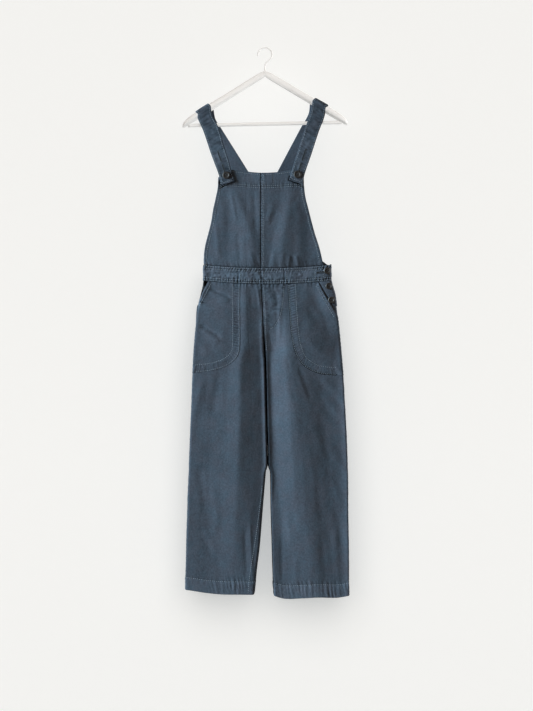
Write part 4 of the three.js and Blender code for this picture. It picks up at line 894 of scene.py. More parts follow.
# ------------------------------------------------------------------ materials
class Nodes:
    """Short ways to add shader nodes to one tree and join them."""

    def __init__(self, tree):
        self.tree = tree

    def feed(self, socket, value):
        """Gives an input a fixed value, or joins another node's output to it."""
        if isinstance(value, bpy.types.NodeSocket):
            self.tree.links.new(value, socket)
        else:
            socket.default_value = value

    def add(self, kind, out=0, setup=(), **inputs):
        """A new node's output; inputs go by name, or by number as _0 and _1."""
        node = self.tree.nodes.new("ShaderNode" + kind)
        for key, value in dict(setup).items():
            setattr(node, key, value)
        for key, value in inputs.items():
            self.feed(node.inputs[int(key[1:]) if key[0] == "_" else key.replace("_", " ")], value)
        return node.outputs[out]

    def remap(self, source, low, high, to_low, to_high):
        return self.add("MapRange", Value=source, From_Min=low, From_Max=high, To_Min=to_low, To_Max=to_high)

    def calculate(self, operation, a, b):
        return self.add("Math", setup={"operation": operation}, _0=a, _1=b)

    def scaled(self, colour, factor):
        return self.add("VectorMath", setup={"operation": "SCALE"}, _0=colour, Scale=factor)

    def noise(self, vector, scale, detail, rough=0.5):
        return self.add("TexNoise", Vector=vector, Scale=scale, Detail=detail, Roughness=rough)

    def bump(self, height, strength, distance):
        return self.add("Bump", Height=height, Strength=strength, Distance=distance)


def principled(name, color, roughness, **sockets):
    """A material, its nodes and its shader with fixed values on the sockets."""
    mat = bpy.data.materials.new(name)
    mat.use_nodes = True
    shader = mat.node_tree.nodes["Principled BSDF"]
    shader.inputs["Base Color"].default_value = (*color, 1)
    shader.inputs["Roughness"].default_value = roughness
    for key, value in sockets.items():
        shader.inputs[key.replace("_", " ")].default_value = value
    return mat, Nodes(mat.node_tree), shader.inputs


def twill_material(settings):
    """Washed twill: uneven dye, slubs, a twill line, and each place's tone of rubbed dye with painted shade
    and light.
    """
    mat, nodes, sockets = principled("washed_twill", settings.twill, 0.92, Specular_IOR_Level=0.12)
    place = nodes.add("TexCoord", "Object")
    cloudy = nodes.remap(nodes.noise(place, 9, 3, 0.55), 0.3, 0.7, 0.92, 1.08)
    slub = nodes.remap(nodes.noise(place, 210, 4, 0.7), 0.33, 0.67, 0.81, 1.19)
    wear = nodes.add("Attribute", "Fac", {"attribute_name": "wear"})
    # rubbed dye, painted shade and painted light make the cloth paler or darker
    fade_and_shading = nodes.remap(wear, -2.9, 1.9, 0.054, 1.62)
    # the twill line follows the cloth's own measure
    cloth = nodes.add("UVMap", "UV", {"uv_map": "Cloth"})
    leaning = nodes.add("Mapping", Vector=cloth, Rotation=(0, 0, math.radians(58)))
    weave = nodes.add("TexWave", "Fac", {"wave_type": "BANDS"}, Vector=leaning, Scale=310, Distortion=1.2,
                      Detail=2, Detail_Scale=2.5)
    line = nodes.remap(weave, 0, 1, 0.93, 1.07)
    tone = nodes.calculate("MULTIPLY", nodes.calculate("MULTIPLY", cloudy, slub),
                           nodes.calculate("MULTIPLY", fade_and_shading, line))
    r, g, b = settings.twill
    patches = nodes.remap(nodes.noise(place, 34, 3, 0.6), 0.35, 0.65, 0, 1)
    hue = nodes.add("Mix", "Result", {"data_type": "RGBA"}, Factor=patches, A=(r, g, b, 1),
                    B=(r * 1.12, g * 0.975, b * 0.955, 1))
    nodes.feed(sockets["Base Color"], nodes.scaled(hue, tone))
    nap = nodes.remap(nodes.noise(place, 330, 3, 0.6), 0.3, 0.7, 0, 2.0)
    nodes.feed(sockets["Normal"], nodes.bump(nodes.calculate("ADD", weave, nap), 0.5, 0.00022))
    return mat


def spun_material(name, colour):
    """Thread of one colour with a little unevenness."""
    mat, nodes, sockets = principled(name, colour, 0.7, Specular_IOR_Level=0.3)
    fibre = nodes.add("TexNoise", Scale=300)
    nodes.feed(sockets["Base Color"], nodes.scaled(colour, nodes.remap(fibre, 0, 1, 0.8, 1.2)))
    return mat


def button_material(settings):
    """Dull button with a cloudy tone."""
    colour = settings.button
    mat, nodes, sockets = principled("dark_button", colour, 0.48, Coat_Weight=0.12, Coat_Roughness=0.4)
    cloud = nodes.noise(nodes.add("TexCoord", "Object"), 140, 4)
    nodes.feed(sockets["Base Color"], nodes.scaled(colour, nodes.remap(cloud, 0.3, 0.7, 0.7, 1.45)))
    return mat


def paint_material(settings):
    """Brushed paint on wood and wire."""
    colour = settings.paint
    mat, nodes, sockets = principled("white_paint", colour, 0.42, Coat_Weight=0.15, Coat_Roughness=0.3)
    place = nodes.add("Mapping", Vector=nodes.add("TexCoord", "Object"), Scale=(12, 70, 70))
    brushed = nodes.noise(place, 1, 5)
    nodes.feed(sockets["Base Color"], nodes.scaled(colour, nodes.remap(brushed, 0.3, 0.7, 0.96, 1.0)))
    nodes.feed(sockets["Normal"], nodes.bump(brushed, 0.1, 0.0002))
    return mat


MAKERS = {
    "twill": twill_material, "button": button_material, "paint": paint_material,
    "thread": lambda settings: spun_material("sewing_thread", settings.thread),
    "hole_thread": lambda settings: spun_material("buttonhole_thread", settings.hole_thread)}
_made = {}


def finish_piece(obj, finish, replaces=()):
    """Gives a piece its finish and its place on the frame."""
    if finish not in _made:
        _made[finish] = MAKERS[finish](bpy.context.scene.jumpsuit_finish)
    obj.data.materials.append(_made[finish])
    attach(obj, "root")
    if replaces:
        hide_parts(*replaces)
    return obj


def cloth_piece(name, solid, P, N, thick, wear, facing, free=(0, 0, 0, 0)):
    """A panel in twill, shown in place of its solid."""
    obj = shell_object("cloth_" + name, P, N, thick, wear, facing, free)
    finish_piece(obj, "twill", [solid])


# ------------------------------------------------------------------ panels
ALL = slice(None)


def meeting(P, facing, *edges):
    """Ways out of a surface that keep clear of one axis where it meets another panel."""
    n = normals_of(P, facing)
    for rows, columns, axis in edges:
        n[rows, columns, axis] = 0
    return unit(n)


def even_rows(side, front, levels, shares, stop_out=None, stop_in=None):
    """x of each grid point so that columns are even along the cloth."""
    sign = INWARD[side]
    t = 0.5 - 0.5 * np.cos(np.linspace(0, math.pi, 220))
    X = np.empty((len(levels), len(shares)))
    for r, level in enumerate(levels):
        outer = read(OUTLINE, side, level) if stop_out is None else stop_out[r]
        inner = read(INNER, side, level) + sign * 0.1 if stop_in is None else stop_in[r]
        x = outer + (inner - outer) * t
        y = leg_depth(side, front, x, level)
        run = running(np.diff(x), np.diff(y))
        X[r] = np.interp(shares * run[-1], run, x)
    return X


def leg_panel(side, front):
    """One leg panel, from the waistband to its hem."""
    levels = WAIST_BOTTOM - np.concatenate([
        np.arange(0, 24, 1.5), np.linspace(24, 225, 84), np.linspace(230, 790, 78),
        np.arange(793, 838.01, 1.4), [838]])
    levels = np.unique(levels)[::-1]
    run = spread(235, 12, 1.1, 2.2 if front else 4.0)
    X = even_rows(side, front, levels, run / run[-1])
    L = np.broadcast_to(levels[:, None], X.shape)
    base = leg_base(side, front, X, L)
    base[0, :, 2] -= SEAM
    facing = INWARD[side] * (1 if front else -1)
    low = levels <= CROTCH
    N = meeting(base, facing, (ALL, 0, 1), (low, -1, ALL), (~low, -1, 0), (0, ALL, 2))
    height, wear = leg_detail(side, front, X, L)
    P = base + N * height[..., None]
    away = -1 if front else 1
    P[..., 1] = away * np.maximum(away * P[..., 1], SEAM)
    M = meeting(P, facing, (ALL, 0, 1), (low, -1, 1), (~low, -1, 0))
    thick = CLOTH + 1.0 * (1 - smooth(HEM_DEEP - 1, HEM_DEEP + 1, L - HEM_LEVEL))
    name = f"{'front' if front else 'back'}_leg_{side}"
    cloth_piece(name, name, P, M, thick, wear, facing, free=(0, 0.8, 0, 0))


def pocket_outer(side, level):
    """Where a pocket row ends: at its mouth, then eased out to the side seam."""
    (x0, z0), (x1, z1) = POCKETS[side]["mouth"]
    sign = INWARD[side]
    stop = read(OUTLINE, side, level) + sign * 0.4
    t = (level - z0) / (z1 - z0)
    mouth = x0 + (x1 - x0) * t + sign * MOUTH_BOW * np.sin(math.pi * np.clip(t, 0, 1))
    step = (x1 - read(OUTLINE, side, z1) - sign * 0.4) * (1 - smooth(z1, z1 - 70, level))
    return np.where(level > z1, mouth, stop + step)


def pocket_outline(side, count):
    """Inner edge and scoop as a smooth line, from the waistband to the side."""
    pts = np.array(POCKETS[side]["edge"], float)
    run = running(*np.diff(pts, axis=0).T)
    t = table("s x z", [(s, x, z) for s, (x, z) in zip(run, pts)])
    s = np.linspace(0, run[-1], count)
    return read(t, "x", s), read(t, "z", s), s


def scoop_distance(side, x, level):
    """Distance inside a pocket's sewn edge, and how far along it."""
    best, along = np.full(np.shape(x), 1e9), np.zeros(np.shape(x))
    for x0, z0, s0 in zip(*pocket_outline(side, 160)):
        d = (x - x0) ** 2 + (level - z0) ** 2
        hit = d < best
        best[hit] = d[hit]
        along[hit] = s0
    return np.sqrt(best), along


def pocket_height(side, x, level):
    """Height of a pocket's face over the smooth leg, and its tone, painted shade included."""
    seed = 31 if side == "left" else 33
    edge, along = scoop_distance(side, x, level)
    (x0, z0), (x1, z1) = POCKETS[side]["mouth"]
    length = math.hypot(x1 - x0, z1 - z0)
    off, t = mouth_place(side, x, level)
    off = np.abs(off)
    s_out, _ = leg_edges(side, x, level)
    below = WAIST_BOTTOM - level
    near_mouth = smooth(-0.02, 0.12, t) * (1 - smooth(0.92, 1.04, t))
    rim = 3.2 * bump(off, 16) if side == "left" else 2.6 * bump(off - 10, 13)
    gape = rim * np.sin(math.pi * np.clip(t, 0, 1)) ** 0.8 * near_mouth
    dips = ladder(along, edge - POCKET_BETWEEN, 6.9, 12, seed)
    ripple = 0.35 * pucker(along, edge - 11, 9, 10, seed) - 0.4 * dips
    ripple += 0.5 * pucker(x, below, 12, 10, seed + 1)
    ripple += 0.4 * pucker(t * length, off - 5, 9, 6, seed + 2) * (1 - smooth(0.8, 0.95, t))
    ripple += 0.3 * pucker(level, s_out, 11, 8, seed + 4)
    shape = -0.3 * bump(edge - POCKET_ROWS[0], 1.2) - 0.3 * bump(edge - POCKET_ROWS[1], 1.4)
    shape += near_mouth * (0.4 * (1 - smooth(10, 12, off)) - 0.5 * bump(off - MOUTH_ROW, 1.3))
    shape -= 1.2 * bump(below, 1.8)
    slack = 1.2 * smooth(22, 52, edge) * smooth(0, 24, off) * smooth(10, 60, s_out)
    slack *= 1 + 0.6 * mottle(x, level, 55, seed)
    rough = 0.25 * mottle(x, level, 16, seed) + 0.12 * mottle(x, level, 6, seed + 1)
    face = 0.45 + PATCH + gape + ripple + shape + slack + rough
    under = leg_detail(side, True, x, level)[0]
    lap = smooth(0, 20, edge) * smooth(-1, 9, s_out)
    tone = wear_and_groove_shade(ripple, shape) + 0.25 * rough + 0.5 * bump(edge - POCKET_BETWEEN, 12)
    # painted shade of the rungs' dips
    tone -= dips * (1.3 if side == "left" else 1.8) * np.where(along > 190, 0.8, 1)
    if side == "left":
        # painted shade: a faint line at the edge, in the gaping mouth, and by the side seam past the mouth's
        # lower end
        tone -= 0.3 * bump(edge, 1.3)
        tone -= 3.4 * near_mouth * smooth(0.1, 0.3, t) * (1 - smooth(1.6, 4.2, off))
        shade = (0.5 + 0.8 * (1 - smooth(3, 14, s_out))) * (1 - smooth(12, 34, s_out))
        tone -= shade * smooth(0.9, 1.1, t)
    else:
        # painted shade: a dark line along the sewn edge
        tone -= 3.4 * bump(edge, 3.0)
    return lap * face + (1 - lap) * (0.35 + under + np.maximum(ripple, -0.1) + 0.3 * rough), tone


def pocket_panel(side):
    """A scoop pocket laid on the front of a leg."""
    ex, levels, _ = pocket_outline(side, 236)
    levels[0] = WAIST_BOTTOM
    outer = pocket_outer(side, levels)
    count = spread(118, 16, 1.1, 2.2)
    X = even_rows(side, True, levels, count / count[-1], stop_out=outer, stop_in=ex)
    L = np.broadcast_to(levels[:, None], X.shape)
    base = leg_base(side, True, X, L)
    base[0, :, 2] -= SEAM
    height, wear = pocket_height(side, X, L)
    facing = INWARD[side]
    P = base + meeting(leg_base(side, True, X, L), facing, (0, ALL, 2)) * height[..., None]
    cloth_piece(f"pocket_{side}", f"pocket_{side}", P, normals_of(P, facing), PATCH - 0.1, wear, facing,
                free=(0, 0.3, 0.5, 0.3))


def placket_panel():
    """The strip that closes the side opening below the waistband."""
    (x0, z0), (x1, z1), foot = PLACKET
    levels = np.linspace(WAIST_BOTTOM, foot, 60)
    t = np.clip((levels - z0) / (z1 - z0), 0, 1)
    inner = x0 + 3 + (x1 - x0) * t
    inner = np.minimum(inner, read(OUTLINE, "right", levels) - 9)
    outer = read(OUTLINE, "right", levels) - 0.3
    X = even_rows("right", True, levels, np.linspace(0, 1, 40), stop_out=outer, stop_in=inner)
    L = np.broadcast_to(levels[:, None], X.shape)
    base = leg_base("right", True, X, L)
    base[0, :, 2] -= SEAM
    edge = read(OUTLINE, "right", L) - X
    ripple = 0.35 * pucker(L, edge - 6, 10, 8, 41)
    height = SEAM * 2 + PATCH + ripple - 0.3 * bump(edge - 5, 1.2)
    N = normals_of(leg_base("right", True, X, L), -1)
    P = base + N * height[..., None]
    # the tone follows the ripple: paler on its ridges where the dye is rubbed, darker in its dips as painted
    # shade
    cloth_piece("side_placket", "side_placket", P, normals_of(P, -1), PATCH - 0.1, ripple, -1,
                free=(0, 0.3, 0, 0.2))


def bib_panel(side):
    """One half of the bib, up to its hemmed top."""
    sign = INWARD[side]
    levels = BIB_TOP - np.concatenate([np.linspace(0, 46, 34), np.linspace(48, 224, 96),
                                       np.linspace(226, 249, 18)])
    run = spread(140, 12, 1.1, 2.4)
    shares = run / run[-1]
    edge = read(BIB_EDGES, side, levels)[:, None]
    seam = (BIB_SEAM + np.clip((BIB_TOP - levels) / 246, 0, 1))[:, None] + sign * 0.1
    X = edge + (seam - edge) * shares[None]
    L = np.broadcast_to(levels[:, None], X.shape)
    base = bib_base(X, L)
    base[-1, :, 2] += SEAM
    N = normals_of(base, sign)
    N[:, -1, 0] = 0
    height, wear = bib_detail(side, X, L)
    P = base + N * height[..., None]
    M = meeting(P, sign, (ALL, -1, 0), (-1, ALL, 2))
    thick = CLOTH + 1.1 * (1 - smooth(33, 36, BIB_TOP - L))
    cloth_piece(f"bib_{side}", f"bib_front_{side}", P, M, thick, wear, sign,
                free=(0.8, 0, 0.7, 0))


def band_panel(name, front=False, start=None, stop=None):
    """One length of the waistband between its seams."""
    left, right = read(OUTLINE, "left", WAIST_BOTTOM), read(OUTLINE, "right", WAIST_BOTTOM)
    a = left if start is None else start + SEAM
    b = right if stop is None else stop - SEAM
    fine = a + (b - a) * (0.5 - 0.5 * np.cos(np.linspace(0, math.pi, 400)))
    y = band_depth(front, fine)
    run = running(np.diff(fine), np.diff(y))
    pos = spread(run[-1], 6, 0.8, 1.6 if front else 2.6)
    x = np.interp(pos, run, fine)
    t = np.concatenate([np.linspace(0, 0.25, 13), np.linspace(0.27, 0.73, 18), np.linspace(0.75, 1, 13)])
    X, T = np.meshgrid(x, t)
    base = band_base(front, X, T)
    sign = 1 if front else -1
    N = normals_of(base, sign)
    N[..., 2] = 0
    away = -sign
    N[:, 0] = (-1, 0, 0) if start is None else (0, away, 0)
    N[:, -1] = (1, 0, 0) if stop is None else (0, away, 0)
    N = unit(N)
    height, wear = band_detail(front, X, T)
    P = base + N * (BAND_PROUD + height)[..., None]
    cloth_piece(f"waistband_{name}", f"waistband_{'front_' if front else ''}{name}", P, N,
                BAND - 0.2 + height, wear, sign)


def back_panel():
    """The back piece, between the waistband and the foot of the straps."""
    share = spread(1, 0.08, 0.01, 0.022)
    down = spread(1, 0.06, 0.008, 0.018)
    S, D = np.meshgrid(share, down)
    base = back_base(S, D)
    sign = -1
    N = normals_of(base, sign)
    x, z = base[..., 0], base[..., 2]
    left = read(BACK_EDGES, "left", D)
    right = read(BACK_EDGES, "right", D)
    edge = np.minimum(x - left, right - x)
    foot = (1 - D) * 190
    ripple = 0.45 * pucker(z, edge, 11, 8, 51, 0.5) + 0.6 * pucker(x, foot, 12, 12, 52)
    ripple += 0.4 * pucker(z, np.abs(x + 2), 10, 8, 53)
    shape = 0.6 * (1 - smooth(8, 10, edge)) - 0.4 * bump(edge - 7, 1.3) - 0.8 * bump(x + 2, 1.3)
    height = ripple + shape + 0.25 * mottle(x, z, 16, 54)
    P = base + N * height[..., None]
    # the tone follows the relief: paler where the dye is rubbed off what stands up, darker in the grooves as
    # painted shade
    cloth_piece("back_piece", "back_piece", P, meeting(P, sign, (-1, ALL, 2)), CLOTH,
                ripple + 0.6 * shape, sign, free=(0.2, 0, 0.7, 0.7))


# ------------------------------------------------------------------ straps
def strap_stations(side):
    """Inner face points (rows, 5 columns) and the way out, front foot to back foot."""
    s = STRAPS[side]
    outward = -INWARD[side]
    shares = np.linspace(0, 1, 5)
    points, outs = [], []

    def free(row, way):
        xi, zi, yi, xo, zo, yo = row
        x, z = xi + (xo - xi) * shares, zi + (zo - zi) * shares
        y = -strap_lift(x, z) if yi == STRAP_HANG else yi + (yo - yi) * shares
        turned = np.array([(yi - yo) * outward * way, way * abs(xo - xi), 0])
        points.append(np.stack([x, y, z], -1))
        outs.append(np.tile(turned / np.linalg.norm(turned), (5, 1)))
    for row in reversed(s["front"]):
        free(row, -1)
    top_in, top_out = s["top"]
    for degrees in np.linspace(-90, 90, 17):
        angle = math.radians(degrees)
        lean = s["lean"][0] if degrees < 0 else s["lean"][1]
        x = top_in + (top_out - top_in) * shares - outward * lean * abs(degrees / 90) ** 3
        p = arm_point(x, angle, 0.6)
        points.append(p)
        outs.append((arm_point(x, angle, 0.6 + BAND) - p) / BAND)
    for row in s["back"]:
        free(row, 1)
    return np.array(points), np.array(outs)


def strap_grid(side, along, across):
    """Fine inner-face points and way out of a strap at the given places, mm."""
    points, outs = strap_stations(side)
    middle = points[:, 2]
    run = running(*np.diff(middle, axis=0).T)
    cols = np.linspace(0, 1, 5)

    def blend(values):
        rows = np.empty((len(along), 5, 3))
        for c in range(5):
            t = table("s x y z", [(a, *v) for a, v in zip(run, values[:, c])])
            for k, name in enumerate("xyz"):
                rows[:, c, k] = read(t, name, along)
        out = np.empty((len(along), len(across), 3))
        for k in range(3):
            for r in range(len(along)):
                out[r, :, k] = np.interp(across, cols, rows[r, :, k])
        return out
    N = unit(blend(outs))
    stand_off = 2.4 * (1 - smooth(0, 15, np.asarray(along)))     # of the tab's end
    return blend(points) + N * stand_off[:, None, None], N, run[-1]


STRAP_WIDE = 38
BUTTONHOLES = ((30, 52), (62, 92))   # along a strap, from its front end


def strap_height(side, along, across):
    """Height of a strap's outer face, and its tone, painted shade included."""
    seed = 61 if side == "left" else 63
    d = np.minimum(across, 1 - across) * STRAP_WIDE
    middle = np.abs(across - 0.5) * STRAP_WIDE
    ripple = 0.4 * pucker(along, d - 3, 8, 5, seed, 0.4) + 0.3 * wave(along + 9 * across, 23, seed + 1)
    ripple += 0.25 * mottle(along, across * STRAP_WIDE, 11, seed)
    shape = 0.3 * (1 - smooth(4, 6, d)) - 0.55 * bump(d - 3.2, 1.2) - 0.4 * bump(d, 1.1)
    shape += 0.35 * bump(along - 14, 5) - 0.5 * bump(along - 5, 1.3)
    for start, stop in BUTTONHOLES:
        slit = smooth(start - 1, start + 1, along) * (1 - smooth(stop - 1, stop + 1, along))
        shape += slit * (0.3 * bump(middle - 3, 1.6) - 1.3 * bump(middle, 1.0))
    rungs = ladder(along, d - 3.5, 7.3, 7, seed + 2)
    rungs += 0.5 * ladder(along, (across - 0.5) * STRAP_WIDE, 9.1, 12, seed + 3)
    # painted shade: the rungs' dips; the left strap darker all along, the right one a little lighter at its
    # buttoned end and darker further along
    tone = wear_and_groove_shade(ripple, shape) - 1.3 * rungs + 0.7 * mottle(along, across * STRAP_WIDE, 7, seed + 4)
    tone = tone - (0.85 if side == "left" else 0.6 * smooth(110, 190, along) - 0.15)
    return ripple + shape - 0.2 * rungs, tone


def strap_piece(side):
    """One strap, from its buttoned end over the hanger to the back piece."""
    across = spread(1, 0.16, 0.025, 0.035)
    _, _, length = strap_grid(side, np.array([0.0]), across)
    along = spread(length, 8, 1.0, 2.2)
    P0, N, _ = strap_grid(side, along, across)
    A, C = np.meshgrid(along, across, indexing="ij")
    height, wear = strap_height(side, A, C)
    thick = BAND - 0.25 + height + 0.35 * np.sin(math.pi * C)
    cloth_piece(f"strap_{side}", f"strap_{side}", P0 + N * thick[..., None], N, thick, wear, INWARD[side],
                free=(0.5, 0, 0.5, 0.5))


def strap_surface(side):
    """A function of (across, along) with points on a strap's outer face."""
    across_grid = np.linspace(0, 1, 33)
    _, _, length = strap_grid(side, np.array([0.0]), across_grid)
    lines = np.arange(0, length, 1.0)
    P0, N0, _ = strap_grid(side, lines, across_grid)

    def pick(G, u, v):
        a = np.clip(v, 0, len(lines) - 1.001)
        b = np.clip(u * 32, 0, 31.999)
        i, j = a.astype(int), b.astype(int)
        fa, fb = (a - i)[..., None], (b - j)[..., None]
        return ((G[i, j] * (1 - fa) + G[i + 1, j] * fa) * (1 - fb)
                + (G[i, j + 1] * (1 - fa) + G[i + 1, j + 1] * fa) * fb)

    def at(u, v):
        height = strap_height(side, v, u)[0] + 0.35 * np.sin(math.pi * u)
        n = unit(pick(N0, u, v))
        return pick(P0, u, v) + n * (BAND - 0.25 + height)[..., None], n
    return at, length


# ------------------------------------------------------------------ stitches
THREAD = 0.55
STITCH_LONG = 3.2
STITCH_PITCH = 5.2
STITCH_RINGS = ((0, -0.2, 0.7), (0.3, 0.2, 1), (0.7, 0.2, 1), (1, -0.2, 0.7))   # share, rise, size
STITCH_FACES = np.array([(4 * k + i, 4 * k + j, 4 * k + 4 + j, 4 * k + 4 + i)
                         for k in range(3) for j, i in ((0, 1), (1, 2), (2, 3), (3, 0))]
                        + [(0, 1, 2, 3), (15, 14, 13, 12)])


def thread_parts(P, N, pitch=STITCH_PITCH, long=STITCH_LONG, radius=THREAD):
    """Points and faces of separate stitches along the dense line P with way out N."""
    run = running(*np.diff(P, axis=0).T)
    count = int(run[-1] / pitch)
    if count < 1:
        return np.empty((0, 3)), np.empty((0, 4), int)
    start = np.arange(count) * pitch + (run[-1] - count * pitch + pitch - long) / 2

    def at(values, s):
        return np.stack([np.interp(s, run, values[:, k]) for k in range(3)], -1)
    T = unit(at(P, start + long) - at(P, start))
    B = unit(np.cross(T, at(N, start + long / 2)))
    n = np.cross(B, T)
    rings = []
    for share, rise, size in STITCH_RINGS:
        centre = at(P, start + long * share) + n * rise
        rings += [centre + (B * math.cos(a) + n * math.sin(a)) * radius * size for a in turn(4)]
    quads = STITCH_FACES[None] + (np.arange(count) * 16)[:, None, None]
    return np.stack(rings, 1).reshape(-1, 3), quads.reshape(-1, 4)


class Stitching:
    """Gathers rows of stitches that become one piece."""

    def __init__(self):
        self.verts, self.quads, self.count = [], [], 0

    def add(self, V, quads):
        self.verts.append(V)
        self.quads.append(quads + self.count)
        self.count += len(V)

    def row(self, surface, u, v):
        """Stitches on a surface along the line (u, v); one of the two may be a single number."""
        self.add(*thread_parts(*surface(*np.broadcast_arrays(np.asarray(u, float), np.asarray(v, float)))))

    def bar(self, surface, u, v, wide=2.6):
        """A bar tack: a short run of tight threads across the line."""
        P, N = surface(np.linspace(*u, 200), np.linspace(*v, 200))
        run = running(*np.diff(P, axis=0).T)
        for s in np.arange(0.3, run[-1], 0.62):
            k = min(max(int(np.searchsorted(run, s)), 1), len(P) - 2)
            B = np.cross(unit(P[k + 1] - P[k - 1]), N[k])
            line = P[k] + B * np.linspace(-wide / 2, wide / 2, 9)[:, None]
            self.add(*thread_parts(line, np.tile(N[k], (9, 1)), wide, wide * 0.98, 0.34))

    def piece(self, name, finish="thread"):
        obj = make_mesh(name, np.concatenate(self.verts), np.concatenate(self.quads))
        return finish_piece(obj, finish)


def leg_stitches():
    """Rows of the front and back rise, fly, hems and inseam."""
    stitching = Stitching()
    rise = np.linspace(WAIST_BOTTOM - 3, CROTCH + 30, 200)
    right = leg_surface("right")
    stitching.row(right, read(INNER, "right", rise) + RISE_ROW, rise)
    fly = np.linspace(-637, -761, 200)
    stitching.row(right, read(FLY_STITCH, "x", fly), fly)
    stitching.bar(right, (7, 22), (-761.5, -761.5))
    level = HEM_LEVEL + HEM_DEEP - 1.5
    for side, inward in INWARD.items():
        ends = read(OUTLINE, side, level) + inward * 2.5, read(INNER, side, level) - inward * 2.5
        for front in (True, False):
            stitching.row(leg_surface(side, front), np.linspace(*ends, 400), level)
    stitching.row(leg_surface("right", False), read(INNER, "right", rise) + RISE_ROW, rise)
    low = np.linspace(-1180, -1468, 200)
    inseam = read(INNER, "left", low) - 7 - 11 * smooth(-1180, -1440, low)
    stitching.row(leg_surface("left"), inseam, low)
    return stitching.piece("stitching_legs")


def pocket_stitches():
    """Two rows round each scoop pocket, one along its mouth, and the right one's bar tacks."""
    stitching = Stitching()
    for side in ("left", "right"):
        surface = pocket_surface(side)
        sign = INWARD[side]
        ex, ez, _ = pocket_outline(side, 260)
        tx, tz = np.gradient(ex), np.gradient(ez)
        size = np.hypot(tx, tz)
        for off in POCKET_ROWS:
            u, v = ex + sign * tz / size * off, ez - sign * tx / size * off
            keep = (v < WAIST_BOTTOM - 1.5) & (leg_edges(side, u, v)[0] > 2)
            stitching.row(surface, u[keep], v[keep])
        (x0, z0), (x1, z1) = POCKETS[side]["mouth"]
        length = math.hypot(x1 - x0, z1 - z0)
        t = np.linspace(0.03, 0.97, 300)
        u = x0 + (x1 - x0) * t - sign * (z1 - z0) / length * MOUTH_ROW
        v = z0 + (z1 - z0) * t + sign * (x1 - x0) / length * MOUTH_ROW
        keep = v < WAIST_BOTTOM - 1
        stitching.row(surface, u[keep], v[keep])
    surface = pocket_surface("right")
    stitching.bar(surface, (178, 178), (-864, -880))
    stitching.bar(surface, (184, 196), (-722, -724))
    return stitching.piece("stitching_pockets")


def bib_stitches():
    """Rows along the bib's edges, its hem and its middle seam."""
    stitching = Stitching()
    for side, inward in INWARD.items():
        surface = bib_surface(side)
        levels = np.linspace(BIB_TOP - 2, WAIST_TOP + 1.5, 300)
        stitching.row(surface, read(BIB_EDGES, side, levels) + inward * 7, levels)
        x = np.linspace(read(BIB_EDGES, side, BIB_TOP - 34) + inward * 3, BIB_SEAM - inward, 300)
        for down in (34, 39, 4):
            stitching.row(surface, x, BIB_TOP - down)
    stitching.row(surface, BIB_SEAM + RISE_ROW + 0.5, np.linspace(BIB_TOP - 3, WAIST_TOP + 2, 300))
    stitching.row(surface, BIB_BOX, np.linspace(BIB_TOP - 4, BIB_TOP - 34, 400))
    return stitching.piece("stitching_bib")


def band_stitches():
    """Four rows round the waistband, and short ones at its seams and buttonhole."""
    stitching = Stitching()
    deep = WAIST_TOP - WAIST_BOTTOM
    left, right = read(OUTLINE, "left", WAIST_BOTTOM), read(OUTLINE, "right", WAIST_BOTTOM)
    for front in (True, False):
        surface = band_surface(front)
        for t in (2.6 / deep, 9 / deep, 1 - 9 / deep, 1 - 2.6 / deep):
            stitching.row(surface, np.linspace(left + 3, right - 3, 1500), t)
    for x in (*(seam + 6.5 for seam in WAIST_SEAMS), *BUTTONHOLE_BOX):
        stitching.row(band_surface(), x, np.linspace(9.5 / deep, 1 - 9.5 / deep, 400))
    return stitching.piece("stitching_waistband")


def strap_stitches():
    """A row along each edge of the straps and one across their ends."""
    stitching = Stitching()
    edge = 3.2 / STRAP_WIDE
    for side in INWARD:
        surface, length = strap_surface(side)
        for across in (edge, 1 - edge):
            stitching.row(surface, across, np.linspace(5, length - 3, 1200))
        stitching.row(surface, np.linspace(edge, 1 - edge, 120), 5)
    return stitching.piece("stitching_straps")


# ------------------------------------------------------------------ buttons
HOLE = 1.9                      # from a button's middle to each of its holes, both ways


def button_frame(name):
    """Middle of a button's back, its axes, way out, radius and thickness, from its solid."""
    mesh = frame["nodes"][name].data
    co = np.empty(len(mesh.vertices) * 3)
    mesh.vertices.foreach_get("co", co)
    co = co.reshape(-1, 3) / MM
    centre = co.mean(0)
    _, _, axes = np.linalg.svd(co - centre)
    n = axes[2] if axes[2][1] < 0 else -axes[2]
    reach = (co - centre) @ n
    radius = np.linalg.norm((co - centre) - reach[:, None] * n, axis=1).max()
    u = unit(np.cross(n, (1, 0, 0)))
    return centre + n * reach.min(), u, np.cross(n, u), n, radius, reach.max() - reach.min()


def button_piece(name):
    """A turned button: dished middle, rounded rim and four holes."""
    at, u, v, n, radius, thick = button_frame(name)
    a = turn(96)
    Q, A = np.meshgrid(np.linspace(0.02, 1, 46) ** 0.9, a, indexing="ij")
    r = Q * (radius - 0.05)
    X, Y = r * np.cos(A), r * np.sin(A)
    top = thick - 0.9 * smooth(radius - 1.6, radius, r) ** 2
    top -= 0.7 * (1 - smooth(radius * 0.5, radius * 0.68, r))
    top += 0.15 * bump(r - radius * 0.8, 0.9)
    top -= 2.0 * (1 - smooth(0.75, 1.2, np.hypot(np.abs(X) - HOLE, np.abs(Y) - HOLE)))

    def place(x, y, h):
        return at + x[..., None] * u + y[..., None] * v + h[..., None] * n
    rim = []
    for t in (0.2, 0.45, 0.7, 1.0):
        bow = math.sin(math.pi * min(1, t + 0.15)) * 0.25
        rr = (radius - 0.05 + bow) * (1 if t < 1 else 0.9)
        rim.append(place(rr * np.cos(a), rr * np.sin(a), np.full(len(a), (thick - 0.9) * (1 - t))))
    obj = loft_object("round_" + name, np.concatenate([place(X, Y, top), rim]))
    return finish_piece(obj, "button", [name])


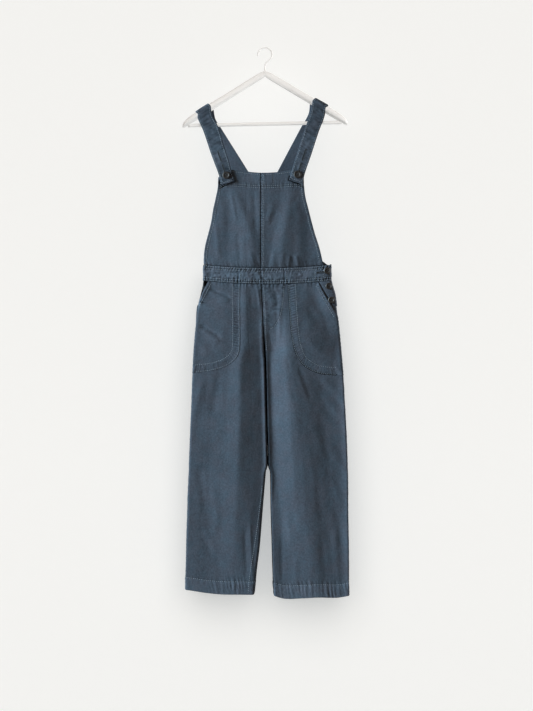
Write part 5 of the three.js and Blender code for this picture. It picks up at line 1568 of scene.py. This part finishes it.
def button_threads():
    """Two bars of three threads through the holes of every button."""
    stitching = Stitching()
    t = np.linspace(0, 1, 12)[:, None]
    dip = 1 - np.sin(math.pi * t)
    for name in (*STRAP_BUTTONS, *SIDE_BUTTONS):
        at, u, v, n, _, thick = button_frame(name)
        for row in (HOLE, -HOLE):
            for off in (-0.3, 0.0, 0.3):
                line = at + HOLE * (1 - 2 * t) * u + (row + off) * v
                line = line + n * (thick - 0.5 - 0.25 * dip - 1.6 * dip ** 6)
                stitching.add(*thread_parts(line, np.tile(n, (len(t), 1)), 3.8, 3.75, 0.24))
    return stitching.piece("button_threads", "hole_thread")


def buttonholes():
    """Worked buttonholes, in use and spare, on the straps and the waistband."""
    stitching = Stitching()
    for side in INWARD:
        surface, _ = strap_surface(side)
        for start, stop in BUTTONHOLES:
            worked_slit(stitching, surface, (0.5, start), (0.5, stop), (STRAP_WIDE, 1))
    worked_slit(stitching, band_surface(), (139, 0.42), (158, 0.42), (1, WAIST_TOP - WAIST_BOTTOM))
    return stitching.piece("buttonhole_threads", "hole_thread")


def worked_slit(stitching, surface, start, stop, scale):
    """Tight threads on both sides of a slit and fanned round its ends; scale makes (u, v) mm."""
    start, stop, scale = np.array(start), np.array(stop), np.array(scale)
    way = (stop - start) * scale
    length = math.hypot(*way)
    along = way / length
    side = np.array([-along[1], along[0]])

    def thread(at, direction, inner, outer):
        u, v = (start + (at + direction * np.linspace(inner, outer, 7)[:, None]) / scale).T
        P, N = surface(u, v)
        stitching.add(*thread_parts(P + N * 0.25, N, 1.9, 1.85, 0.36))
    for sign in (-1, 1):
        for s in np.arange(0, length, 0.6):
            thread(along * s, side * sign, 0.55, 2.5)
    for end, sign in ((0, -1), (length, 1)):
        for a in np.radians(np.linspace(-80, 80, 9)):
            thread(along * end, along * sign * math.cos(a) + side * math.sin(a), 0.4, 2.4)


# ------------------------------------------------------------------ hanger
def hanger_body():
    """Both shaped arms in one, a little peaked at the middle."""
    away = np.concatenate([np.linspace(0, 30, 14), np.linspace(34, 205, 50),
                           ARM_LONG - np.linspace(17, 0.1, 16)])
    xs = np.concatenate([-away[:0:-1], away])
    angles = turn(40)
    rings = np.stack([arm_point(np.full(40, x), angles, 0.0) for x in xs])
    rings[..., 2] -= np.where(np.cos(angles) > 0, 2.0, -1.5) * bump(xs, 9)[:, None]
    return finish_piece(loft_object("wooden_hanger", rings), "paint", ["hanger_body"])


def hanger_bar():
    """The straight bar under the hanger's arms."""
    x, a = np.meshgrid(np.linspace(-RAIL_HALF, RAIL_HALF, 60), turn(28), indexing="ij")
    rings = np.stack([x, RAIL_RADIUS * np.cos(a), RAIL_LEVEL + RAIL_LEAN * x + RAIL_RADIUS * np.sin(a)], -1)
    return finish_piece(loft_object("hanger_rail", rings), "paint", ["hanger_bar"])


def hanger_hook():
    """A bent wire: a short shank, then most of a circle, its end rounded off."""
    bend = [(HOOK_RADIUS * math.cos(a), HOOK_MIDDLE + HOOK_RADIUS * math.sin(a))
            for a in np.radians(np.arange(-52, 192.1, 12.2))]
    line = np.array(HOOK_SHANK + bend)
    run = running(*np.diff(line, axis=0).T)
    t = table("s x z", [(s, *p) for s, p in zip(run, line)])
    s = np.linspace(0, run[-1], 150)
    x, z = read(t, "x", s), read(t, "z", s)
    dx, dz = np.gradient(x), np.gradient(z)
    past = np.maximum(0, s - run[-1] + WIRE_RADIUS) / WIRE_RADIUS
    wire = WIRE_RADIUS * np.sqrt(np.maximum(0.05, 1 - past ** 2))
    a = turn(20)
    rings = [np.stack([x0 + w * way_z * np.cos(a), w * np.sin(a), z0 - w * way_x * np.cos(a)], -1)
             for x0, z0, w, way_x, way_z in zip(x, z, wire, dx / np.hypot(dx, dz), dz / np.hypot(dx, dz))]
    return finish_piece(loft_object("hanger_wire_hook", rings), "paint", ["hanger_hook"])


# ------------------------------------------------------------------ surroundings, metres
FLOOR_LEVEL = -1.96
FLOOR_HALF = 6
FLOOR_FINISH = (0.35, 0.02)     # tone and glow
WALL_HALF = 2.6
WALL_TOP = 1.2
ROOM_SEEN = 0.86                # how bright the open side of the room looks
PICTURE_MIDDLE = (0.00405, 0, -0.833)
FRONT_OF_SEAMS = 0.015          # where the picture's height is taken
SENSOR = 36                     # width of the camera's sensor, mm
SOFT_LIGHTS = {                 # place, what it points at, width and height, colour
    "key": ((-3.04, -0.99, 0.1), (0, 0, -0.85), (1.2, 2.4), (0.73, 0.905, 1.0)),
    "fill": ((1.2, -3.2, 0.4), (0, 0, -0.9), (2.0, 2.4), (1, 0.9, 0.8)),
    "back": ((2.85, 0.8, 0.3), (0, 0, -0.85), (1.2, 2.4), (1, 1, 1))}


# ------------------------------------------------------------------ settings
COLOUR = dict(size=3, subtype="COLOR", min=0, max=1)
LENGTH = dict(subtype="DISTANCE", unit="LENGTH")
WATTS = dict(min=0, max=2000)


class JumpsuitFinish(bpy.types.PropertyGroup):
    """Colours of the cloth, threads, buttons and paint."""
    twill: FloatVectorProperty(name="Twill", description="Colour of the washed cotton",
                               default=(0.0655, 0.0872, 0.1155), **COLOUR)
    thread: FloatVectorProperty(name="Thread", description="Colour of the sewing thread",
                                default=(0.26, 0.30, 0.35), **COLOUR)
    hole_thread: FloatVectorProperty(name="Buttonhole thread", description="Colour of the worked buttonholes",
                                     default=(0.055, 0.064, 0.075), **COLOUR)
    button: FloatVectorProperty(name="Buttons", description="Colour of the buttons",
                                default=(0.016, 0.0135, 0.013), **COLOUR)
    paint: FloatVectorProperty(name="Paint", description="Colour of the hanger's paint",
                               default=(0.75, 0.745, 0.73), **COLOUR)


class JumpsuitStage(bpy.types.PropertyGroup):
    """Camera, wall and lights."""
    distance: FloatProperty(name="Camera distance", description="From the lens to the garment's seams",
                            min=1, max=10, default=3.2, **LENGTH)
    height: FloatProperty(name="Picture height", description="What the picture covers at the garment",
                          min=0.5, max=5, default=1.9197, **LENGTH)
    wall: FloatProperty(name="Wall", description="How far the wall stands behind the hook",
                        min=0.06, max=1, default=0.085, **LENGTH)
    key: FloatProperty(name="Key light", description="Power of the large soft light, in watts",
                       default=302, **WATTS)
    fill: FloatProperty(name="Fill light", description="Power of the soft light in front, in watts",
                        default=3, **WATTS)
    back: FloatProperty(name="Back light", description="Power of the soft light behind, in watts",
                        default=60, **WATTS)
    ambient: FloatProperty(name="Ambient", description="Strength of the light from all round",
                           min=0, max=10, default=0.20)
    wash: FloatProperty(name="Wall light", description="Strength of the even light on wall and hanger",
                        min=0, max=20, default=1.95)
    lift: FloatProperty(name="Hanger light", description="Strength of the even light on the hanger alone",
                        min=0, max=20, default=2.45)
    wall_tone: FloatProperty(name="Wall tone", description="How much light the wall gives back",
                             min=0, max=1, default=0.7)
    wall_glow: FloatProperty(name="Wall glow", description="Even light of the wall itself",
                             min=0, max=10, default=0.385)


# ------------------------------------------------------------------ operators
class JUMPSUIT_OT_legs(bpy.types.Operator):
    """Builds the four leg panels with their folds, rises and hems"""
    bl_idname = "jumpsuit.legs"
    bl_label = "Legs"

    def execute(self, context):
        for side in INWARD:
            for front in (True, False):
                leg_panel(side, front)
        return {"FINISHED"}


class JUMPSUIT_OT_pockets(bpy.types.Operator):
    """Builds the scoop pockets and the placket of the side opening"""
    bl_idname = "jumpsuit.pockets"
    bl_label = "Pockets"

    def execute(self, context):
        for side in INWARD:
            pocket_panel(side)
        placket_panel()
        return {"FINISHED"}


class JUMPSUIT_OT_waistband(bpy.types.Operator):
    """Builds the front waistband in its four lengths, and the back one"""
    bl_idname = "jumpsuit.waistband"
    bl_label = "Waistband"

    def execute(self, context):
        ends = (None, *WAIST_SEAMS, None)
        for name, start, stop in zip(("side_left", "mid_left", "mid_right", "side_right"), ends, ends[1:]):
            band_panel(name, True, start, stop)
        band_panel("back")
        return {"FINISHED"}


class JUMPSUIT_OT_bib(bpy.types.Operator):
    """Builds the two halves of the bib and the back piece"""
    bl_idname = "jumpsuit.bib"
    bl_label = "Bib and back"

    def execute(self, context):
        for side in INWARD:
            bib_panel(side)
        back_panel()
        return {"FINISHED"}


class JUMPSUIT_OT_straps(bpy.types.Operator):
    """Builds both straps over the hanger's arms"""
    bl_idname = "jumpsuit.straps"
    bl_label = "Straps"

    def execute(self, context):
        for side in INWARD:
            strap_piece(side)
        return {"FINISHED"}


class JUMPSUIT_OT_stitches(bpy.types.Operator):
    """Sews the rows of stitches, bar tacks and buttonholes"""
    bl_idname = "jumpsuit.stitches"
    bl_label = "Stitches"

    def execute(self, context):
        for sew in (leg_stitches, pocket_stitches, bib_stitches, band_stitches, strap_stitches, buttonholes):
            sew()
        return {"FINISHED"}


class JUMPSUIT_OT_buttons(bpy.types.Operator):
    """Builds the five four-hole buttons and their threads"""
    bl_idname = "jumpsuit.buttons"
    bl_label = "Buttons"

    def execute(self, context):
        for name in (*STRAP_BUTTONS, *SIDE_BUTTONS):
            button_piece(name)
        button_threads()
        return {"FINISHED"}


class JUMPSUIT_OT_hanger(bpy.types.Operator):
    """Builds the painted hanger with its bar and hook"""
    bl_idname = "jumpsuit.hanger"
    bl_label = "Hanger"

    def execute(self, context):
        for build in (hanger_body, hanger_bar, hanger_hook):
            build()
        return {"FINISHED"}


def backdrop_material(name, tone, glow, one_sided):
    """Pale matt surface with a glow of its own; its back may be seen through."""
    mat = bpy.data.materials.new(name)
    mat.use_nodes = True
    mat.node_tree.nodes.clear()
    nodes = Nodes(mat.node_tree)
    matt = nodes.add("BsdfDiffuse", Color=(tone, tone, tone * 0.985, 1))
    light = nodes.add("Emission", Color=(0.95, 0.99, 1, 1), Strength=glow)
    last = nodes.add("AddShader", _0=matt, _1=light)
    if one_sided:
        behind = nodes.add("NewGeometry", "Backfacing")
        shadow = nodes.add("LightPath", "Is Shadow Ray")
        last = nodes.add("MixShader", _0=nodes.calculate("MAXIMUM", behind, shadow), _1=last,
                         _2=nodes.add("BsdfTransparent"))
    out = mat.node_tree.nodes.new("ShaderNodeOutputMaterial")
    nodes.feed(out.inputs["Surface"], last)
    return mat


def pale_room(world, ambient, backdrop):
    """Soft warm light from all round, against a backdrop that is seen brighter."""
    world.use_nodes = True
    nodes = Nodes(world.node_tree)
    soft = world.node_tree.nodes["Background"]
    soft.inputs["Color"].default_value = (1, 0.79, 0.6, 1)
    soft.inputs["Strength"].default_value = ambient
    seen = nodes.add("Background", Color=(1, 1, 0.985, 1), Strength=backdrop)
    mix = nodes.add("MixShader", _0=nodes.add("LightPath", "Is Camera Ray"), _1=soft.outputs[0], _2=seen)
    nodes.feed(world.node_tree.nodes["World Output"].inputs["Surface"], mix)


def backdrop(name, corners, material):
    """A flat piece of the surroundings through its corners, in metres."""
    obj = make_mesh(name, np.array(corners) / MM, [(0, 1, 2, 3)], smooth_shade=False)
    obj.data.materials.append(material)
    return obj


def lit_only(light, objects, shut_out=False, shading=False):
    """Lets a light fall on, or be shaded by, these objects alone or everything but them."""
    group = bpy.data.collections.new(light.name + ("_shading" if shading else "_group"))
    for obj in objects:
        group.objects.link(obj)
    if shut_out:
        for entry in group.collection_objects:
            entry.light_linking.link_state = "EXCLUDE"
    if shading:
        light.light_linking.blocker_collection = group
    else:
        light.light_linking.receiver_collection = group


def placed(name, data, place, direction):
    """A light in the scene that points along a direction."""
    obj = bpy.data.objects.new(name, data)
    obj.location = place
    obj.rotation_euler = direction.to_track_quat("-Z", "Y").to_euler()
    bpy.context.scene.collection.objects.link(obj)
    return obj


def soft_light(name, power, place, aim, size, colour):
    """A rectangular light aimed at a point."""
    data = bpy.data.lights.new(name, "AREA")
    data.shape = "RECTANGLE"
    data.size, data.size_y = size
    data.energy, data.color = power, colour
    return placed(name, data, place, Vector(aim) - Vector(place))


def even_light(name, strength, direction, degrees, colour=(1, 1, 1), shadow=True):
    """A light of one direction, softened by its angle."""
    data = bpy.data.lights.new(name, "SUN")
    data.energy, data.color = strength, colour
    data.angle = math.radians(degrees)
    data.use_shadow = shadow
    return placed(name, data, (0, 0, 0), Vector(direction))


class JUMPSUIT_OT_stage(bpy.types.Operator):
    """Sets the pale wall and floor, the soft lights and the camera"""
    bl_idname = "jumpsuit.stage"
    bl_label = "Stage"

    def execute(self, context):
        scene = context.scene
        s = scene.jumpsuit_stage
        square = ((-1, 0), (1, 0), (1, 1), (-1, 1))
        wall = backdrop(
            "backdrop_wall", [(x * WALL_HALF, s.wall, (FLOOR_LEVEL, WALL_TOP)[z]) for x, z in square],
            backdrop_material("pale_wall", s.wall_tone, s.wall_glow, True))
        floor = backdrop(
            "backdrop_floor", [(x * FLOOR_HALF, (2 * y - 1) * FLOOR_HALF, FLOOR_LEVEL) for x, y in square],
            backdrop_material("pale_floor", *FLOOR_FINISH, False))
        scene.world = bpy.data.worlds.new("pale_room")
        pale_room(scene.world, s.ambient, ROOM_SEEN)
        scene.view_settings.view_transform = "Standard"
        self.set_lights(scene, s, (wall, floor))
        lens = bpy.data.cameras.new("camera")
        lens.sensor_width = SENSOR
        lens.lens = SENSOR / (s.height / (s.distance - FRONT_OF_SEAMS))
        camera = bpy.data.objects.new("camera", lens)
        camera.location = Vector(PICTURE_MIDDLE) + Vector((0, -s.distance, 0))
        camera.rotation_euler = (math.radians(90), 0, 0)
        scene.collection.objects.link(camera)
        scene.camera = camera
        return {"FINISHED"}

    def set_lights(self, scene, s, room):
        """The soft lights fall on the garment, the even ones on what stands round it."""
        def named(*starts):
            return [obj for obj in scene.objects if obj.name.startswith(starts)]
        painted = named("wooden_hanger", "hanger_")
        for name, power, spared in (("key", s.key, painted), ("fill", s.fill, ()), ("back", s.back, ())):
            light = soft_light(name + "_light", power, *SOFT_LIGHTS[name])
            lit_only(light, (*room, *spared), shut_out=True)
        wash = even_light("wall_light", s.wash, (0.02, 1, -0.5), 70)
        lit_only(wash, (*room, *painted))
        hung_low = named("cloth_front_leg", "cloth_back_leg", "cloth_pocket", "cloth_waistband")
        lit_only(wash, (*room, *hung_low), shading=True)
        lift = even_light("hanger_light", s.lift, (-0.6, 1, 0.8), 80, (0.94, 0.975, 1.0), shadow=False)
        lit_only(lift, painted)


class JUMPSUIT_PT_panel(bpy.types.Panel):
    """Lists the jumpsuit's pieces and settings"""
    bl_idname = "JUMPSUIT_PT_panel"
    bl_label = "Jumpsuit"
    bl_space_type = "VIEW_3D"
    bl_region_type = "UI"
    bl_category = "Jumpsuit"

    def draw(self, context):
        for operator in OPERATORS:
            self.layout.operator(operator.bl_idname)
        for group in (context.scene.jumpsuit_finish, context.scene.jumpsuit_stage):
            for name in group.bl_rna.properties.keys():
                if name not in ("rna_type", "name"):
                    self.layout.prop(group, name)


OPERATORS = (JUMPSUIT_OT_legs, JUMPSUIT_OT_pockets, JUMPSUIT_OT_waistband, JUMPSUIT_OT_bib,
             JUMPSUIT_OT_straps, JUMPSUIT_OT_buttons, JUMPSUIT_OT_stitches, JUMPSUIT_OT_hanger,
             JUMPSUIT_OT_stage)
CLASSES = (JumpsuitFinish, JumpsuitStage, *OPERATORS, JUMPSUIT_PT_panel)


def register():
    """Adds the classes and settings."""
    for cls in CLASSES:
        bpy.utils.register_class(cls)
    bpy.types.Scene.jumpsuit_finish = PointerProperty(type=JumpsuitFinish)
    bpy.types.Scene.jumpsuit_stage = PointerProperty(type=JumpsuitStage)


def unregister():
    """Takes the classes and settings away again."""
    del bpy.types.Scene.jumpsuit_stage
    del bpy.types.Scene.jumpsuit_finish
    for cls in reversed(CLASSES):
        bpy.utils.unregister_class(cls)


def main():
    """Registers the classes and settings, then builds every piece and sets the stage."""
    register()
    for operator in OPERATORS:
        group, name = operator.bl_idname.split(".")
        getattr(getattr(bpy.ops, group), name)()


if __name__ == "__main__":
    main()
